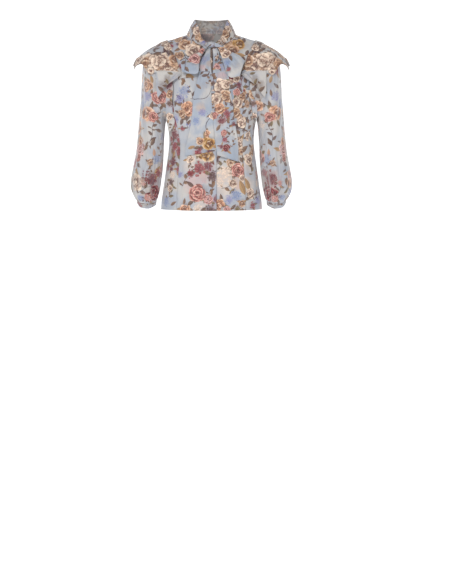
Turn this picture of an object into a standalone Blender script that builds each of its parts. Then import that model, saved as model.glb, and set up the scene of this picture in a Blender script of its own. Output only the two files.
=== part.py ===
"""Blouse worn on a general figure: fronts, back, sleeves, flounces, collar band and tied bow.

Metres, +Z up. The front faces -Y, +X is the wearer's left, and the origin is the middle of the neck
at shoulder height, where the wearer holds the garment.
"""

import math

import bmesh
import bpy
import numpy as np
from mathutils import Vector
from mathutils.bvhtree import BVHTree

WALL = 0.0012
BOW_WALL = 0.0011
SEAM_GAP = 0.0005
LAP_LIFT = 0.0030
LAP_EDGE_X = 0.0170
UNDER_EDGE_X = -0.0110
LAP_START_X = -0.0140
LAP_RAMP = 0.0120
FLOUNCE_CLEARANCE = (0.0036, 0.0050, 0.0054)  # at the seam, below it, and over the rest
SLEEVE_AROUND = 28
FLOUNCE_ALONG = 45
FLOUNCE_DOWN = 8
NECKLINE_MARGIN = 0.0030

# Rings of the body: half width, height at the side, front depth, height in front, back depth,
# height behind, squareness.
BODY_RINGS = (
    # half_w  z_side   front   z_front  back    z_back   square
    (0.1705, -0.5870, 0.1180, -0.5905, 0.1170, -0.5890, 2.35),  # 0 hem
    (0.1680, -0.5560, 0.1170, -0.5590, 0.1160, -0.5570, 2.35),  # 1
    (0.1600, -0.5050, 0.1140, -0.5070, 0.1140, -0.5050, 2.35),  # 2 hip
    (0.1515, -0.4400, 0.1080, -0.4420, 0.1070, -0.4400, 2.35),  # 3
    (0.1455, -0.3980, 0.1045, -0.3990, 0.0990, -0.3980, 2.35),  # 4
    (0.1420, -0.3600, 0.1040, -0.3610, 0.0955, -0.3600, 2.35),  # 5 waist
    (0.1440, -0.3250, 0.1090, -0.3260, 0.0970, -0.3250, 2.35),  # 6
    (0.1500, -0.2860, 0.1150, -0.2880, 0.1020, -0.2860, 2.35),  # 7 underarm
    (0.1560, -0.2400, 0.1180, -0.2440, 0.1060, -0.2420, 2.35),  # 8 bust
    (0.1640, -0.1650, 0.1130, -0.1900, 0.1080, -0.1780, 2.30),  # 9 chest
    (0.1710, -0.0900, 0.0980, -0.1320, 0.1050, -0.1120, 2.20),  # 10
    (0.1700, -0.0335, 0.0800, -0.0900, 0.0930, -0.0620, 2.10),  # 11 shoulder point
    (0.1260, -0.0145, 0.0670, -0.0650, 0.0790, -0.0260, 2.05),  # 12
    (0.0840, -0.0010, 0.0600, -0.0460, 0.0660, 0.0060, 2.00),  # 13 neck
)
UNDERARM_RING = 7.0
SHOULDER_RING = 11.0
NECK_RING = 13.0
BUST = (0.0100, 0.0760, 0.0480, -0.2400, 0.0560)  # rise, x, x spread, z, z spread
ARMHOLE_FRONT = (42.0, 0.66)  # widest angle from the side seam, roundness
ARMHOLE_BACK = (36.0, 0.62)

# The princess seam: height and distance from the middle.
PRINCESS = (
    # z       x
    (-0.600, 0.1170),
    (-0.526, 0.1160),
    (-0.450, 0.1100),
    (-0.390, 0.1050),
    (-0.360, 0.1060),
    (-0.323, 0.1120),
    (-0.272, 0.1250),
    (-0.200, 0.1320),
    (-0.150, 0.1330),
)

# Rings of a sleeve below the armhole: outer and inner points, depth before and behind the middle,
# how far the front hangs lower, and the height of the gathers.
SLEEVE_RINGS = (
    # x_out   z_out    x_in    z_in     front   back    dip     gather
    (0.1950, -0.0450, 0.1545, -0.2945, 0.0760, 0.0800, 0.0000, 0.0000),
    (0.2150, -0.0640, 0.1555, -0.3020, 0.0740, 0.0780, 0.0000, 0.0000),
    (0.2280, -0.0920, 0.1565, -0.3110, 0.0715, 0.0755, 0.0000, 0.0000),
    (0.2335, -0.1280, 0.1575, -0.3220, 0.0690, 0.0730, 0.0000, 0.0000),
    (0.2360, -0.1700, 0.1585, -0.3350, 0.0665, 0.0700, 0.0000, 0.0000),
    (0.2385, -0.2180, 0.1595, -0.3500, 0.0640, 0.0670, 0.0000, 0.0000),
    (0.2430, -0.2700, 0.1605, -0.3680, 0.0615, 0.0640, 0.0000, 0.0002),
    (0.2465, -0.3200, 0.1612, -0.3900, 0.0590, 0.0610, 0.0000, 0.0004),
    (0.2505, -0.3670, 0.1620, -0.4150, 0.0575, 0.0590, 0.0005, 0.0006),
    (0.2565, -0.4100, 0.1635, -0.4400, 0.0570, 0.0580, 0.0010, 0.0008),
    (0.2640, -0.4520, 0.1658, -0.4680, 0.0580, 0.0580, 0.0015, 0.0011),
    (0.2700, -0.4880, 0.1690, -0.4930, 0.0585, 0.0580, 0.0020, 0.0014),
    (0.2695, -0.5130, 0.1725, -0.5140, 0.0565, 0.0560, 0.0030, 0.0018),
    (0.2640, -0.5330, 0.1768, -0.5330, 0.0515, 0.0510, 0.0045, 0.0022),
    (0.2560, -0.5485, 0.1818, -0.5480, 0.0440, 0.0440, 0.0070, 0.0024),
    (0.2500, -0.5570, 0.1862, -0.5560, 0.0380, 0.0380, 0.0090, 0.0018),
)
SLEEVE_MIDDLE_Y = -0.0020
GATHERS = 7
BACK_DIP = 0.45  # how far a ring rises behind, as a share of its dip in front
CUFF_RINGS = (
    # x_out   z_out    x_in    z_in     front   back    dip     gather
    (0.2496, -0.5578, 0.1868, -0.5568, 0.0376, 0.0376, 0.0094, 0.0015),
    (0.2500, -0.5608, 0.1864, -0.5598, 0.0378, 0.0378, 0.0145, 0.0012),
    (0.2508, -0.5645, 0.1856, -0.5640, 0.0382, 0.0384, 0.0205, 0.0010),
)

# The top edge of the collar band from the knot round to the middle of the back.
COLLAR_TOP = (
    # x       y        z
    (0.0111, -0.0700, -0.0290),
    (0.0220, -0.0640, -0.0215),
    (0.0330, -0.0540, -0.0100),
    (0.0410, -0.0390, 0.0180),
    (0.0500, -0.0200, 0.0390),
    (0.0562, 0.0030, 0.0500),
    (0.0540, 0.0270, 0.0520),
    (0.0400, 0.0500, 0.0510),
    (0.0205, 0.0610, 0.0500),
    (0.0000, 0.0640, 0.0495),
)
COLLAR_BULGE = 0.0050

# Stations of a flounce from the chest end over the shoulder: the seam and the hem, both as seen
# from the front, the hem's distance before the middle, and how far the middle stands out.
FLOUNCE_STATIONS = (
    # seam_x  seam_z   hem_x   hem_z    hem_y    lift
    (0.0990, -0.1300, 0.1010, -0.1345, -0.1000, 0.0000),
    (0.1030, -0.1200, 0.1180, -0.1490, -0.0990, 0.0030),
    (0.1070, -0.1090, 0.1390, -0.1650, -0.0960, 0.0060),
    (0.1120, -0.0970, 0.1590, -0.1830, -0.0920, 0.0080),
    (0.1160, -0.0850, 0.1795, -0.2045, -0.0870, 0.0100),
    (0.1200, -0.0740, 0.1830, -0.1660, -0.0790, 0.0100),
    (0.1240, -0.0640, 0.1860, -0.1280, -0.0790, 0.0110),
    (0.1300, -0.0510, 0.2075, -0.1345, -0.0690, 0.0130),
    (0.1360, -0.0400, 0.2350, -0.0965, -0.0500, 0.0150),
    (0.1420, -0.0310, 0.2625, -0.1070, -0.0300, 0.0190),
    (0.1470, -0.0230, 0.2515, -0.0775, -0.0020, 0.0130),
)
FLOUNCE_WAVES = 7
FLOUNCE_WAVE = 0.0030
FLOUNCE_SWELL = 0.62

# A frill along the lower front of an armhole, the right one with a curled free end.
FRILL_RIGHT = (
    # z       x_in    x_out
    (-0.1880, 0.1290, 0.1450),
    (-0.2050, 0.1300, 0.1500),
    (-0.2250, 0.1305, 0.1515),
    (-0.2450, 0.1300, 0.1520),
    (-0.2650, 0.1285, 0.1525),
    (-0.2800, 0.1240, 0.1515),
    (-0.2950, 0.1225, 0.1490),
    (-0.3100, 0.1280, 0.1465),
    (-0.3260, 0.1390, 0.1435),
)
FRILL_LEFT = (
    # z       x_in    x_out
    (-0.1860, 0.1140, 0.1320),
    (-0.2000, 0.1200, 0.1370),
    (-0.2150, 0.1260, 0.1430),
    (-0.2300, 0.1310, 0.1485),
    (-0.2450, 0.1350, 0.1520),
    (-0.2620, 0.1370, 0.1535),
    (-0.2800, 0.1375, 0.1525),
)
FRILL_CLEARANCE = (0.0018, 0.0032, 0.0040)  # at the seam, beside it, and over the rest
FRILL_RISE = 0.0080

# The bow, all seen from the front. Each row of a tail has its two edges.
TAIL_RIGHT_SIDE = (
    # z_left   x_left   z_right  x_right
    (-0.0406, -0.0086, -0.0406, -0.0010),
    (-0.0620, -0.0200, -0.0620, -0.0010),
    (-0.0800, -0.0310, -0.0800, -0.0010),
    (-0.1000, -0.0389, -0.1000, 0.0040),
    (-0.1340, -0.0420, -0.1340, 0.0080),
    (-0.1724, -0.0511, -0.1700, 0.0110),
    (-0.1995, -0.0575, -0.1960, 0.0130),
    (-0.2320, -0.0615, -0.2260, 0.0150),
    (-0.2644, -0.0639, -0.2560, 0.0160),
    (-0.3000, -0.0685, -0.2900, 0.0170),
    (-0.3469, -0.0788, -0.3350, 0.0170),
    (-0.3841, -0.0879, -0.3700, 0.0170),
    (-0.4071, -0.0886, -0.3900, 0.0160),
)
TAIL_LEFT_SIDE = (
    # z_left   x_left   z_right  x_right
    (-0.0427, 0.0010, -0.0415, 0.0086),
    (-0.0620, 0.0010, -0.0620, 0.0230),
    (-0.0832, 0.0000, -0.0832, 0.0379),
    (-0.1221, 0.0000, -0.1221, 0.0494),
    (-0.1510, -0.0010, -0.1454, 0.0585),
    (-0.1740, 0.0000, -0.1738, 0.0609),
    (-0.2062, 0.0000, -0.2062, 0.0676),
    (-0.2319, 0.0015, -0.2319, 0.0713),
    (-0.2644, 0.0040, -0.2644, 0.0740),
    (-0.3016, 0.0080, -0.3016, 0.0798),
    (-0.3400, 0.0118, -0.3469, 0.0872),
    (-0.3740, 0.0150, -0.3841, 0.0903),
    (-0.4044, 0.0196, -0.4257, 0.0890),
)
LOOP_UNDER = (
    # z_left   x_left   z_right  x_right
    (-0.1300, 0.0560, -0.1300, 0.0930),
    (-0.1480, 0.0580, -0.1460, 0.0965),
    (-0.1680, 0.0600, -0.1620, 0.1000),
    (-0.1900, 0.0630, -0.1760, 0.1050),
    (-0.2200, 0.0690, -0.1890, 0.1130),
)
KNOT_FOLD = (
    # z_left   x_left   z_right  x_right
    (-0.0436, 0.0030, -0.0436, 0.0140),
    (-0.0520, 0.0045, -0.0520, 0.0215),
    (-0.0620, 0.0060, -0.0620, 0.0255),
    (-0.0740, 0.0075, -0.0740, 0.0250),
    (-0.0830, 0.0090, -0.0830, 0.0225),
    (-0.0900, 0.0110, -0.0900, 0.0185),
)
# A loop's upper and lower edges from the knot to its outer fold.
LOOP_RIGHT_SIDE = (
    # x_top    z_top    x_low    z_low
    (-0.0109, -0.0280, -0.0109, -0.0400),
    (-0.0250, -0.0410, -0.0245, -0.0560),
    (-0.0480, -0.0600, -0.0400, -0.0930),
    (-0.0690, -0.0730, -0.0440, -0.1290),
    (-0.0880, -0.0825, -0.0680, -0.1325),
    (-0.1040, -0.0910, -0.0970, -0.1255),
)
LOOP_LEFT_SIDE = (
    # x_top    z_top    x_low    z_low
    (0.0109, -0.0280, 0.0109, -0.0400),
    (0.0290, -0.0360, 0.0250, -0.0510),
    (0.0510, -0.0500, 0.0400, -0.0900),
    (0.0720, -0.0620, 0.0494, -0.1221),
    (0.0930, -0.0715, 0.0640, -0.1450),
    (0.1110, -0.0890, 0.0950, -0.1400),
)
# How far each piece of the bow stands before the front, at its top and its bottom.
TAIL_RIGHT_OFF = (0.0050, 0.0046)
TAIL_LEFT_OFF = (0.0088, 0.0086)
LOOP_UNDER_OFF = (0.0060, 0.0017)
LOOP_BACK_OFF = 0.0130
LOOP_DEPTH = 0.0130
LOOP_COLUMNS = 10
KNOT = (0.0100, 0.0098, 0.0090, -0.0340)  # half width, half depth, half height, height of the middle
KNOT_WALL = 0.0020

COLOURS = {
    "ground": (0.52, 0.58, 0.66, 1.0),
    "berry": (0.42, 0.36, 0.40, 1.0),
    "cream": (0.78, 0.68, 0.58, 1.0),
    "pale": (0.60, 0.67, 0.76, 1.0),
}


def along(rows, t):
    """Points on a smooth curve through the rows of a table.

    Args:
        rows: the table, one row for each whole number.
        t: where to read it, any shape.
    Returns:
        One row of numbers for each t.
    """
    table = np.asarray(rows, dtype=float)
    last = len(table) - 1
    t = np.clip(np.asarray(t, dtype=float), 0.0, last)
    i = np.minimum(t.astype(int), last - 1)
    f = (t - i)[..., None]
    step = np.diff(table, axis=0)
    slope = np.zeros_like(table)
    same = step[:-1] * step[1:] > 0
    slope[1:-1] = np.where(same, 2 * step[:-1] * step[1:] / np.where(same, step[:-1] + step[1:], 1.0), 0.0)
    slope[0] = step[0]
    slope[-1] = step[-1]
    a = table[i]
    b = table[i + 1]
    ff = f * f
    fff = ff * f
    return (
        a * (2 * fff - 3 * ff + 1)
        + b * (3 * ff - 2 * fff)
        + slope[i] * (fff - 2 * ff + f)
        + slope[i + 1] * (fff - ff)
    )


def rounded(rows, t):
    """The same as along, with rounder turns for outlines that go to and fro."""
    table = np.asarray(rows, dtype=float)
    last = len(table) - 1
    t = np.clip(np.asarray(t, dtype=float), 0.0, last)
    i = np.minimum(t.astype(int), last - 1)
    f = (t - i)[..., None]
    padded = np.vstack([2 * table[0] - table[1], table, 2 * table[-1] - table[-2]])
    a, b, c, d = padded[i], padded[i + 1], padded[i + 2], padded[i + 3]
    return b + 0.5 * f * (c - a + f * (2 * a - 5 * b + 4 * c - d + f * (3 * (b - c) + d - a)))


def smooth_step(x):
    """0 below 0, 1 above 1, and a soft rise between."""
    x = np.clip(x, 0.0, 1.0)
    return x * x * (3 - 2 * x)


def unit(v):
    """The vectors of v at length one."""
    return v / np.maximum(np.linalg.norm(v, axis=-1, keepdims=True), 1e-12)


def body(theta, ring):
    """Points of the body's outer skin.

    Args:
        theta: angle round the body, 0 in front, a quarter turn at the wearer's left side.
        ring: place between the rings of BODY_RINGS.
    Returns:
        Points, in metres.
    """
    theta, ring = np.broadcast_arrays(np.asarray(theta, float), np.asarray(ring, float))
    half_w, z_side, front, z_front, back, z_back, square = np.moveaxis(along(BODY_RINGS, ring), -1, 0)
    s = np.sin(theta)
    c = np.cos(theta)
    reach = (np.abs(s) ** square + np.abs(c) ** square) ** (-1 / square)
    x = half_w * reach * s
    y = -np.where(c > 0, front, back) * reach * c
    z_mid = np.where(c > 0, z_front, z_back)
    z = z_mid + (z_side - z_mid) * (reach * s) ** 2
    rise, bust_x, wide, bust_z, tall = BUST
    y = y - rise * np.exp(-(((np.abs(x) - bust_x) / wide) ** 2) - ((z - bust_z) / tall) ** 2) * (c > 0)
    return np.stack([x, y, z], axis=-1)


def body_normal(theta, ring):
    """Outward normals of the body's skin."""
    e = 1e-3
    across = body(theta + e, ring) - body(theta - e, ring)
    up = body(theta, np.minimum(ring + e, NECK_RING)) - body(theta, np.maximum(ring - e, 0.0))
    return unit(np.cross(across, up))


def angle_at_x(x, ring):
    """The angle, on the wearer's left, where a ring is x from the middle in front."""
    low = np.zeros_like(ring)
    high = np.full_like(ring, math.pi / 2)
    for _ in range(40):
        middle = (low + high) / 2
        short = body(middle, ring)[..., 0] < x
        low = np.where(short, middle, low)
        high = np.where(short, high, middle)
    return (low + high) / 2


def armhole(ring, shape):
    """How far an armhole's edge is from the side seam, in radians, at each ring."""
    widest, roundness = shape
    q = np.clip((ring - UNDERARM_RING) / (SHOULDER_RING - UNDERARM_RING), 0.0, 1.0)
    return math.radians(widest) * (4 * q * (1 - q)) ** roundness


def front_edge(ring):
    """The angle where the front ends: side seam, armhole or shoulder seam."""
    return math.pi / 2 - armhole(ring, ARMHOLE_FRONT)


def back_edge(ring):
    """The angle where the back begins."""
    return math.pi / 2 + armhole(ring, ARMHOLE_BACK)


def princess(ring):
    """The angle of the princess seam."""
    table = np.array(PRINCESS)
    angle = np.full_like(ring, 1.0)
    for _ in range(4):
        z = body(angle, ring)[..., 2]
        angle = angle_at_x(np.interp(z, table[:, 0], table[:, 1]), ring)
    return angle


def seam_meets_armhole():
    """The ring where the princess seam reaches the armhole."""
    rings = np.linspace(UNDERARM_RING + 0.4, SHOULDER_RING - 1.0, 400)
    wide = front_edge(rings) - princess(rings)
    return float(rings[np.argmax(wide < 0)])


def normals_of(points, closed):
    """Normals of a grid of points, by differences. closed joins the last column to the first."""
    if closed:
        across = np.roll(points, -1, axis=1) - np.roll(points, 1, axis=1)
    else:
        across = np.gradient(points, axis=1)
    up = np.gradient(points, axis=0)
    return unit(np.cross(across, up))


def build_mesh(name, vertices, faces, colour):
    """A smooth mesh object, wound outward, in the blouse's collection."""
    mesh = bpy.data.meshes.new(name)
    mesh.from_pydata([tuple(map(float, p)) for p in vertices], [], faces)
    work = bmesh.new()
    work.from_mesh(mesh)
    bmesh.ops.recalc_face_normals(work, faces=work.faces)
    if work.calc_volume(signed=True) < 0:
        bmesh.ops.reverse_faces(work, faces=work.faces)
    work.to_mesh(mesh)
    work.free()
    mesh.shade_smooth()
    obj = bpy.data.objects.new(name, mesh)
    material = bpy.data.materials.new(name)
    material.use_nodes = True
    shader = material.node_tree.nodes["Principled BSDF"]
    shader.inputs["Base Color"].default_value = COLOURS[colour]
    shader.inputs["Roughness"].default_value = 0.7
    shader.inputs["Metallic"].default_value = 0.0
    mesh.materials.append(material)
    bpy.data.collections["blouse"].objects.link(obj)
    return obj


def wall(name, points, normals, thickness, colour, closed=False):
    """A cloth wall: an outer grid of points and the same grid moved in along its normals.

    Args:
        name: the object's name.
        points: rows by columns by 3, the outer skin.
        normals: outward unit vectors of the same shape.
        thickness: of the wall.
        colour: name in COLOURS.
        closed: True if the last column meets the first.
    """
    rows, columns = points.shape[:2]
    inner = points - normals * thickness
    vertices = np.concatenate([points.reshape(-1, 3), inner.reshape(-1, 3)])
    count = rows * columns

    def at(row, column, layer):
        return layer * count + row * columns + column % columns

    faces = []
    spans = columns if closed else columns - 1
    for r in range(rows - 1):
        for c in range(spans):
            for layer in (0, 1):
                ring = [at(r, c, layer), at(r, c + 1, layer), at(r + 1, c + 1, layer), at(r + 1, c, layer)]
                faces.append(ring if layer == 0 else ring[::-1])
    for c in range(spans):
        faces.append([at(0, c + 1, 0), at(0, c, 0), at(0, c, 1), at(0, c + 1, 1)])
        faces.append([at(rows - 1, c, 0), at(rows - 1, c + 1, 0), at(rows - 1, c + 1, 1), at(rows - 1, c, 1)])
    if not closed:
        for r in range(rows - 1):
            faces.append([at(r, 0, 0), at(r + 1, 0, 0), at(r + 1, 0, 1), at(r, 0, 1)])
            last = columns - 1
            faces.append([at(r + 1, last, 0), at(r, last, 0), at(r, last, 1), at(r + 1, last, 1)])
    return build_mesh(name, vertices, faces, colour)


def inset(points, left, right):
    """Moves the first and last columns toward their neighbours by left and right."""
    points = points.copy()
    points[:, 0] += unit(points[:, 1] - points[:, 0]) * left
    points[:, -1] += unit(points[:, -2] - points[:, -1]) * right
    return points


def mirror(points):
    """The same grid on the wearer's other side."""
    return points * np.array([-1.0, 1.0, 1.0])


def lap(points, normals):
    """The right front's points with its lap raised over the left front."""
    rise = smooth_step((points[..., 0] - LAP_START_X + LAP_RAMP) / LAP_RAMP) * LAP_LIFT
    return points + normals * rise[..., None]


def panel(left, right, rings, columns):
    """A grid between two angles for each ring, and the body's normals there."""
    share = np.linspace(0.0, 1.0, columns)[None, :]
    theta = left[:, None] * (1 - share) + right[:, None] * share
    ring = np.broadcast_to(rings[:, None], theta.shape)
    return body(theta, ring), body_normal(theta, ring)


def body_rings(start, end):
    """Rings for a panel's rows, closer together at both ends of the armhole."""
    low = np.linspace(0.0, UNDERARM_RING, 12)
    hole = UNDERARM_RING + np.array([0.06, 0.22, 0.5, 0.85, 1.25, 1.65, 2.0, 2.35, 2.75, 3.15, 3.5, 3.78, 3.94, 4.0])
    top = np.linspace(SHOULDER_RING, NECK_RING, 5)[1:]
    rings = np.concatenate([low, hole, top])
    inside = rings[(rings > start + 1e-6) & (rings < end - 0.04)]
    return np.concatenate([[start], inside, [end]])


def make_body():
    """Fronts, side fronts and back."""
    meet = seam_meets_armhole()
    rings = body_rings(0.0, NECK_RING)
    edge = np.where(rings < meet, princess(rings), front_edge(rings))
    left_start = -angle_at_x(np.full_like(rings, -UNDER_EDGE_X), rings)
    points, normals = panel(left_start, edge, rings, 10)
    wall("front_left", inset(points, 0.0, SEAM_GAP / 2), normals, WALL, "ground")
    right_start = -angle_at_x(np.full_like(rings, LAP_EDGE_X), rings)
    share = np.array([0.0, 0.14, 0.24, 0.34, 0.44, 0.55, 0.66, 0.77, 0.89, 1.0])[None, :]
    theta = right_start[:, None] * (1 - share) + edge[:, None] * share
    ring = np.broadcast_to(rings[:, None], theta.shape)
    points = mirror(inset(body(theta, ring), 0.0, SEAM_GAP / 2))
    normals = mirror(body_normal(theta, ring))
    wall("front_right", lap(points, normals), normals, WALL, "ground")

    side_rings = body_rings(0.0, meet - 0.16)
    points, normals = panel(princess(side_rings), front_edge(side_rings), side_rings, 6)
    points = inset(points, SEAM_GAP / 2, SEAM_GAP / 2)
    wall("side_front_left", points, normals, WALL, "berry")
    wall("side_front_right", mirror(points), mirror(normals), WALL, "berry")

    start = back_edge(rings)
    points, normals = panel(start, 2 * math.pi - start, rings, 17)
    wall("back", inset(points, SEAM_GAP / 2, SEAM_GAP / 2), normals, WALL, "ground")


def armhole_loop():
    """The left armhole from the shoulder point forward and round, with its normals, one point a
    sleeve column."""
    turn = np.arange(SLEEVE_AROUND) / SLEEVE_AROUND * 2 * math.pi
    middle = (UNDERARM_RING + SHOULDER_RING) / 2
    half = (SHOULDER_RING - UNDERARM_RING) / 2
    ring = middle + half * np.cos(turn)
    before = np.sin(turn) > 0
    theta = np.where(before, front_edge(ring), back_edge(ring))
    theta[0] = theta[SLEEVE_AROUND // 2] = math.pi / 2
    return body(theta, ring), body_normal(theta, ring)


def tube_rings(table):
    """Rings of a sleeve or cuff on the wearer's left, from their table."""
    turn = np.arange(SLEEVE_AROUND) / SLEEVE_AROUND * 2 * math.pi
    rings = []
    for x_out, z_out, x_in, z_in, front, back, dip, gather in table:
        middle = np.array([(x_out + x_in) / 2, SLEEVE_MIDDLE_Y, (z_out + z_in) / 2])
        reach = np.array([x_out - x_in, 0.0, z_out - z_in]) / 2
        c = np.cos(turn)[:, None]
        s = np.sin(turn)[:, None]
        depth = np.where(s > 0, front, back)
        points = middle + reach * c - np.array([0.0, 1.0, 0.0]) * depth * s
        points[:, 2] -= dip * np.where(s[:, 0] > 0, s[:, 0], BACK_DIP * s[:, 0])
        out = unit(points - middle)
        wave = gather * np.cos(turn * GATHERS)
        rings.append(points + out * wave[:, None])
    return np.array(rings)


def sleeve_grid():
    """The left sleeve's outer skin, from the armhole to above the cuff."""
    start, out = armhole_loop()
    hole_middle = start.mean(axis=0)
    ahead = unit(np.roll(start, -1, axis=0) - np.roll(start, 1, axis=0))
    into = unit(np.cross(ahead, out))
    into *= np.sign(((hole_middle - start) * into).sum(axis=1, keepdims=True))
    first = start + into * 0.0006 + out * 0.0006
    rings = tube_rings(SLEEVE_RINGS)
    second = first * 0.62 + rings[0] * 0.38
    return np.concatenate([first[None], second[None], rings])


def make_sleeves():
    """Both sleeves and cuffs."""
    for name, grid, colour in (
        ("sleeve", sleeve_grid(), "ground"),
        ("cuff", tube_rings(CUFF_RINGS), "ground"),
    ):
        normals = normals_of(grid, True)
        middle = grid.mean(axis=1, keepdims=True)
        if ((grid - middle) * normals).sum() < 0:
            normals = -normals
        wall(name + "_left", grid, normals, WALL, colour, closed=True)
        wall(name + "_right", mirror(grid), mirror(normals), WALL, colour, closed=True)


def figure_tree():
    """A search tree of the body's and both sleeves' outer skins, with faces wound outward."""
    vertices = []
    faces = []

    def add(grid, closed):
        rows, columns = grid.shape[:2]
        first = len(vertices)
        vertices.extend(tuple(p) for p in grid.reshape(-1, 3))
        spans = columns if closed else columns - 1
        for r in range(rows - 1):
            for c in range(spans):
                a = first + r * columns + c
                b = first + r * columns + (c + 1) % columns
                faces.append((a, b, b + columns, a + columns))

    theta = np.linspace(0.0, 2 * math.pi, 121)[:-1]
    rings = body_rings(0.0, NECK_RING)
    add(body(theta[None, :], rings[:, None]), True)
    for side in (1, -1):
        grid = sleeve_grid()
        if side > 0:
            add(grid, True)
        else:
            add(mirror(grid)[:, ::-1], True)
    return BVHTree.FromPolygons(vertices, faces)


def front_y(tree, x, z):
    """Where a line from the front meets the figure at x and z, or its neckline if z is above that."""
    half_w, z_side, _, z_front = BODY_RINGS[-1][:4]
    neckline = z_front + (z_side - z_front) * min(abs(x) / half_w, 1.0) ** 2
    low = min(z, neckline - NECKLINE_MARGIN)
    hit = tree.ray_cast(Vector((float(x), -0.5, float(low))), Vector((0.0, 1.0, 0.0)))
    return hit[0].y


def front_grid(tree, xs, zs):
    """front_y for whole arrays."""
    flat = [front_y(tree, x, z) for x, z in zip(xs.ravel(), zs.ravel())]
    return np.array(flat).reshape(xs.shape)


def collar_grid():
    """The collar band's outer skin, from the knot on the wearer's right round the back to the left."""
    count = 33
    turn = np.linspace(-1.0, 1.0, count)
    side = np.where(turn < 0, -1.0, 1.0)
    place = 1.0 - np.abs(turn)
    top = rounded(COLLAR_TOP, place * (len(COLLAR_TOP) - 1))
    start = float(angle_at_x(np.array([COLLAR_TOP[0][0]]), np.array([NECK_RING]))[0])
    theta = start + (math.pi - start) * place
    low = body(theta, np.full_like(theta, NECK_RING))
    out = body_normal(theta, np.full_like(theta, NECK_RING - 0.01))
    over_lap = 1.0 - smooth_step((place - 0.10) / 0.15)
    low = low + out * (0.0004 + 0.0030 * over_lap)[:, None]
    low[:, 2] += 0.0006 + 0.0012 * over_lap
    rows = []
    for share in np.linspace(0.0, 1.0, 7):
        bulge = COLLAR_BULGE * math.sin(math.pi * share) * smooth_step(place * 5)
        line = low * (1 - share) + top * share + out * bulge[:, None]
        rows.append(line)
    grid = np.array(rows)
    grid[..., 0] *= side[None, :]
    return grid


def make_collar():
    """The collar band."""
    grid = collar_grid()
    normals = normals_of(grid, False)
    centre = np.array([0.0, 0.0, 0.0])
    if ((grid - centre) * normals).sum() < 0:
        normals = -normals
    wall("collar", grid, normals, WALL, "cream")


def pushed_out(tree, points, clearance):
    """Rows of points moved out to stand clear of the figure, each row by its own clearance."""
    moved = points.copy()
    for r, row in enumerate(moved):
        least = clearance[min(r, len(clearance) - 1)]
        for c, p in enumerate(row):
            place, normal, _, _ = tree.find_nearest(Vector(p))
            if (Vector(p) - place).dot(normal) < least:
                moved[r, c] = place + normal * least
    return moved


def flounce_grid(tree):
    """The left flounce's outer skin: rows from seam to hem, columns from the chest over the
    shoulder to the back."""
    last = len(FLOUNCE_STATIONS) - 1
    turn = np.linspace(-1.0, 1.0, FLOUNCE_ALONG)
    place = (1.0 - np.abs(turn)) * last
    table = rounded(FLOUNCE_STATIONS, place)
    seam_x, seam_z, hem_x, hem_z, hem_y, lift = table.T
    before = turn <= 0
    seam_y = np.array(
        [
            front_y(tree, x, z) if b else back_y(tree, x, z)
            for x, z, b in zip(seam_x, np.minimum(seam_z, -0.0262), before)
        ]
    )
    ease = smooth_step(np.abs(turn) / 0.10)
    seam_y = seam_y * ease
    hem_y = np.where(before, hem_y, -hem_y * 0.96 - 0.004)
    seam = np.stack([seam_x, seam_y, seam_z], axis=-1)
    hem = np.stack([hem_x, hem_y, hem_z], axis=-1)
    sideways = np.full_like(turn, 0.50)
    out = unit(np.stack([sideways, np.where(before, -1, 1) * ease * 0.8, sideways * 1.3], axis=-1))
    rows = []
    for share in np.linspace(0.0, 1.0, FLOUNCE_DOWN):
        wave = FLOUNCE_WAVE * share**2 * np.sin(turn * math.pi * FLOUNCE_WAVES) * (1 - np.abs(turn) ** 6)
        swell = (4 * share * (1 - share)) ** FLOUNCE_SWELL
        line = seam * (1 - share) + hem * share + out * (lift * swell + wave)[:, None]
        rows.append(line)
    grid = np.array(rows)
    grid = pushed_out(tree, grid, FLOUNCE_CLEARANCE)
    for _ in range(3):
        soft = grid.copy()
        soft[1:-1, 1:-1] = (
            grid[1:-1, 1:-1] * 2 + grid[:-2, 1:-1] + grid[2:, 1:-1] + grid[1:-1, :-2] + grid[1:-1, 2:]
        ) / 6
        grid = pushed_out(tree, soft, FLOUNCE_CLEARANCE)
    return grid


def back_y(tree, x, z):
    """Where a line from behind meets the figure at x and z."""
    hit = tree.ray_cast(Vector((float(x), 0.5, float(z))), Vector((0.0, -1.0, 0.0)))
    return hit[0].y


def make_flounces(tree):
    """Both shoulder flounces."""
    grid = flounce_grid(tree)
    normals = normals_of(grid, False)
    if (normals * np.array([0.6, 0.0, 0.8])).sum() < 0:
        normals = -normals
    wall("flounce_left", grid, normals, WALL, "cream")
    wall("flounce_right", mirror(grid), mirror(normals), WALL, "cream")


def make_frills(tree):
    """The strips along the lower front of the armholes."""
    for name, table, side, curl, reach in (
        ("frill_right", FRILL_RIGHT, -1.0, 0.0040, 0.1290),
        ("frill_left", FRILL_LEFT, 1.0, 0.0010, 0.1375),
    ):
        rows = rounded(table, np.linspace(0, len(table) - 1, 13))
        share = np.linspace(0.0, 1.0, 5)
        z, x_in, x_out = rows.T
        y_in = front_grid(tree, np.minimum(x_in, reach), z) - FRILL_CLEARANCE[0]
        x = x_in[:, None] * (1 - share) + x_out[:, None] * share
        y = y_in[:, None] + FRILL_RISE * share - curl * np.sin(math.pi * share)
        grid = np.stack([x, y, np.repeat(z[:, None], 5, axis=1)], axis=-1)
        grid = pushed_out(tree, grid.swapaxes(0, 1), FRILL_CLEARANCE).swapaxes(0, 1)
        grid = grid * np.array([side, 1.0, 1.0])
        normals = normals_of(grid, False)
        if normals[..., 1].sum() > 0:
            normals = -normals
        wall(name, grid, normals, WALL, "cream")


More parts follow.
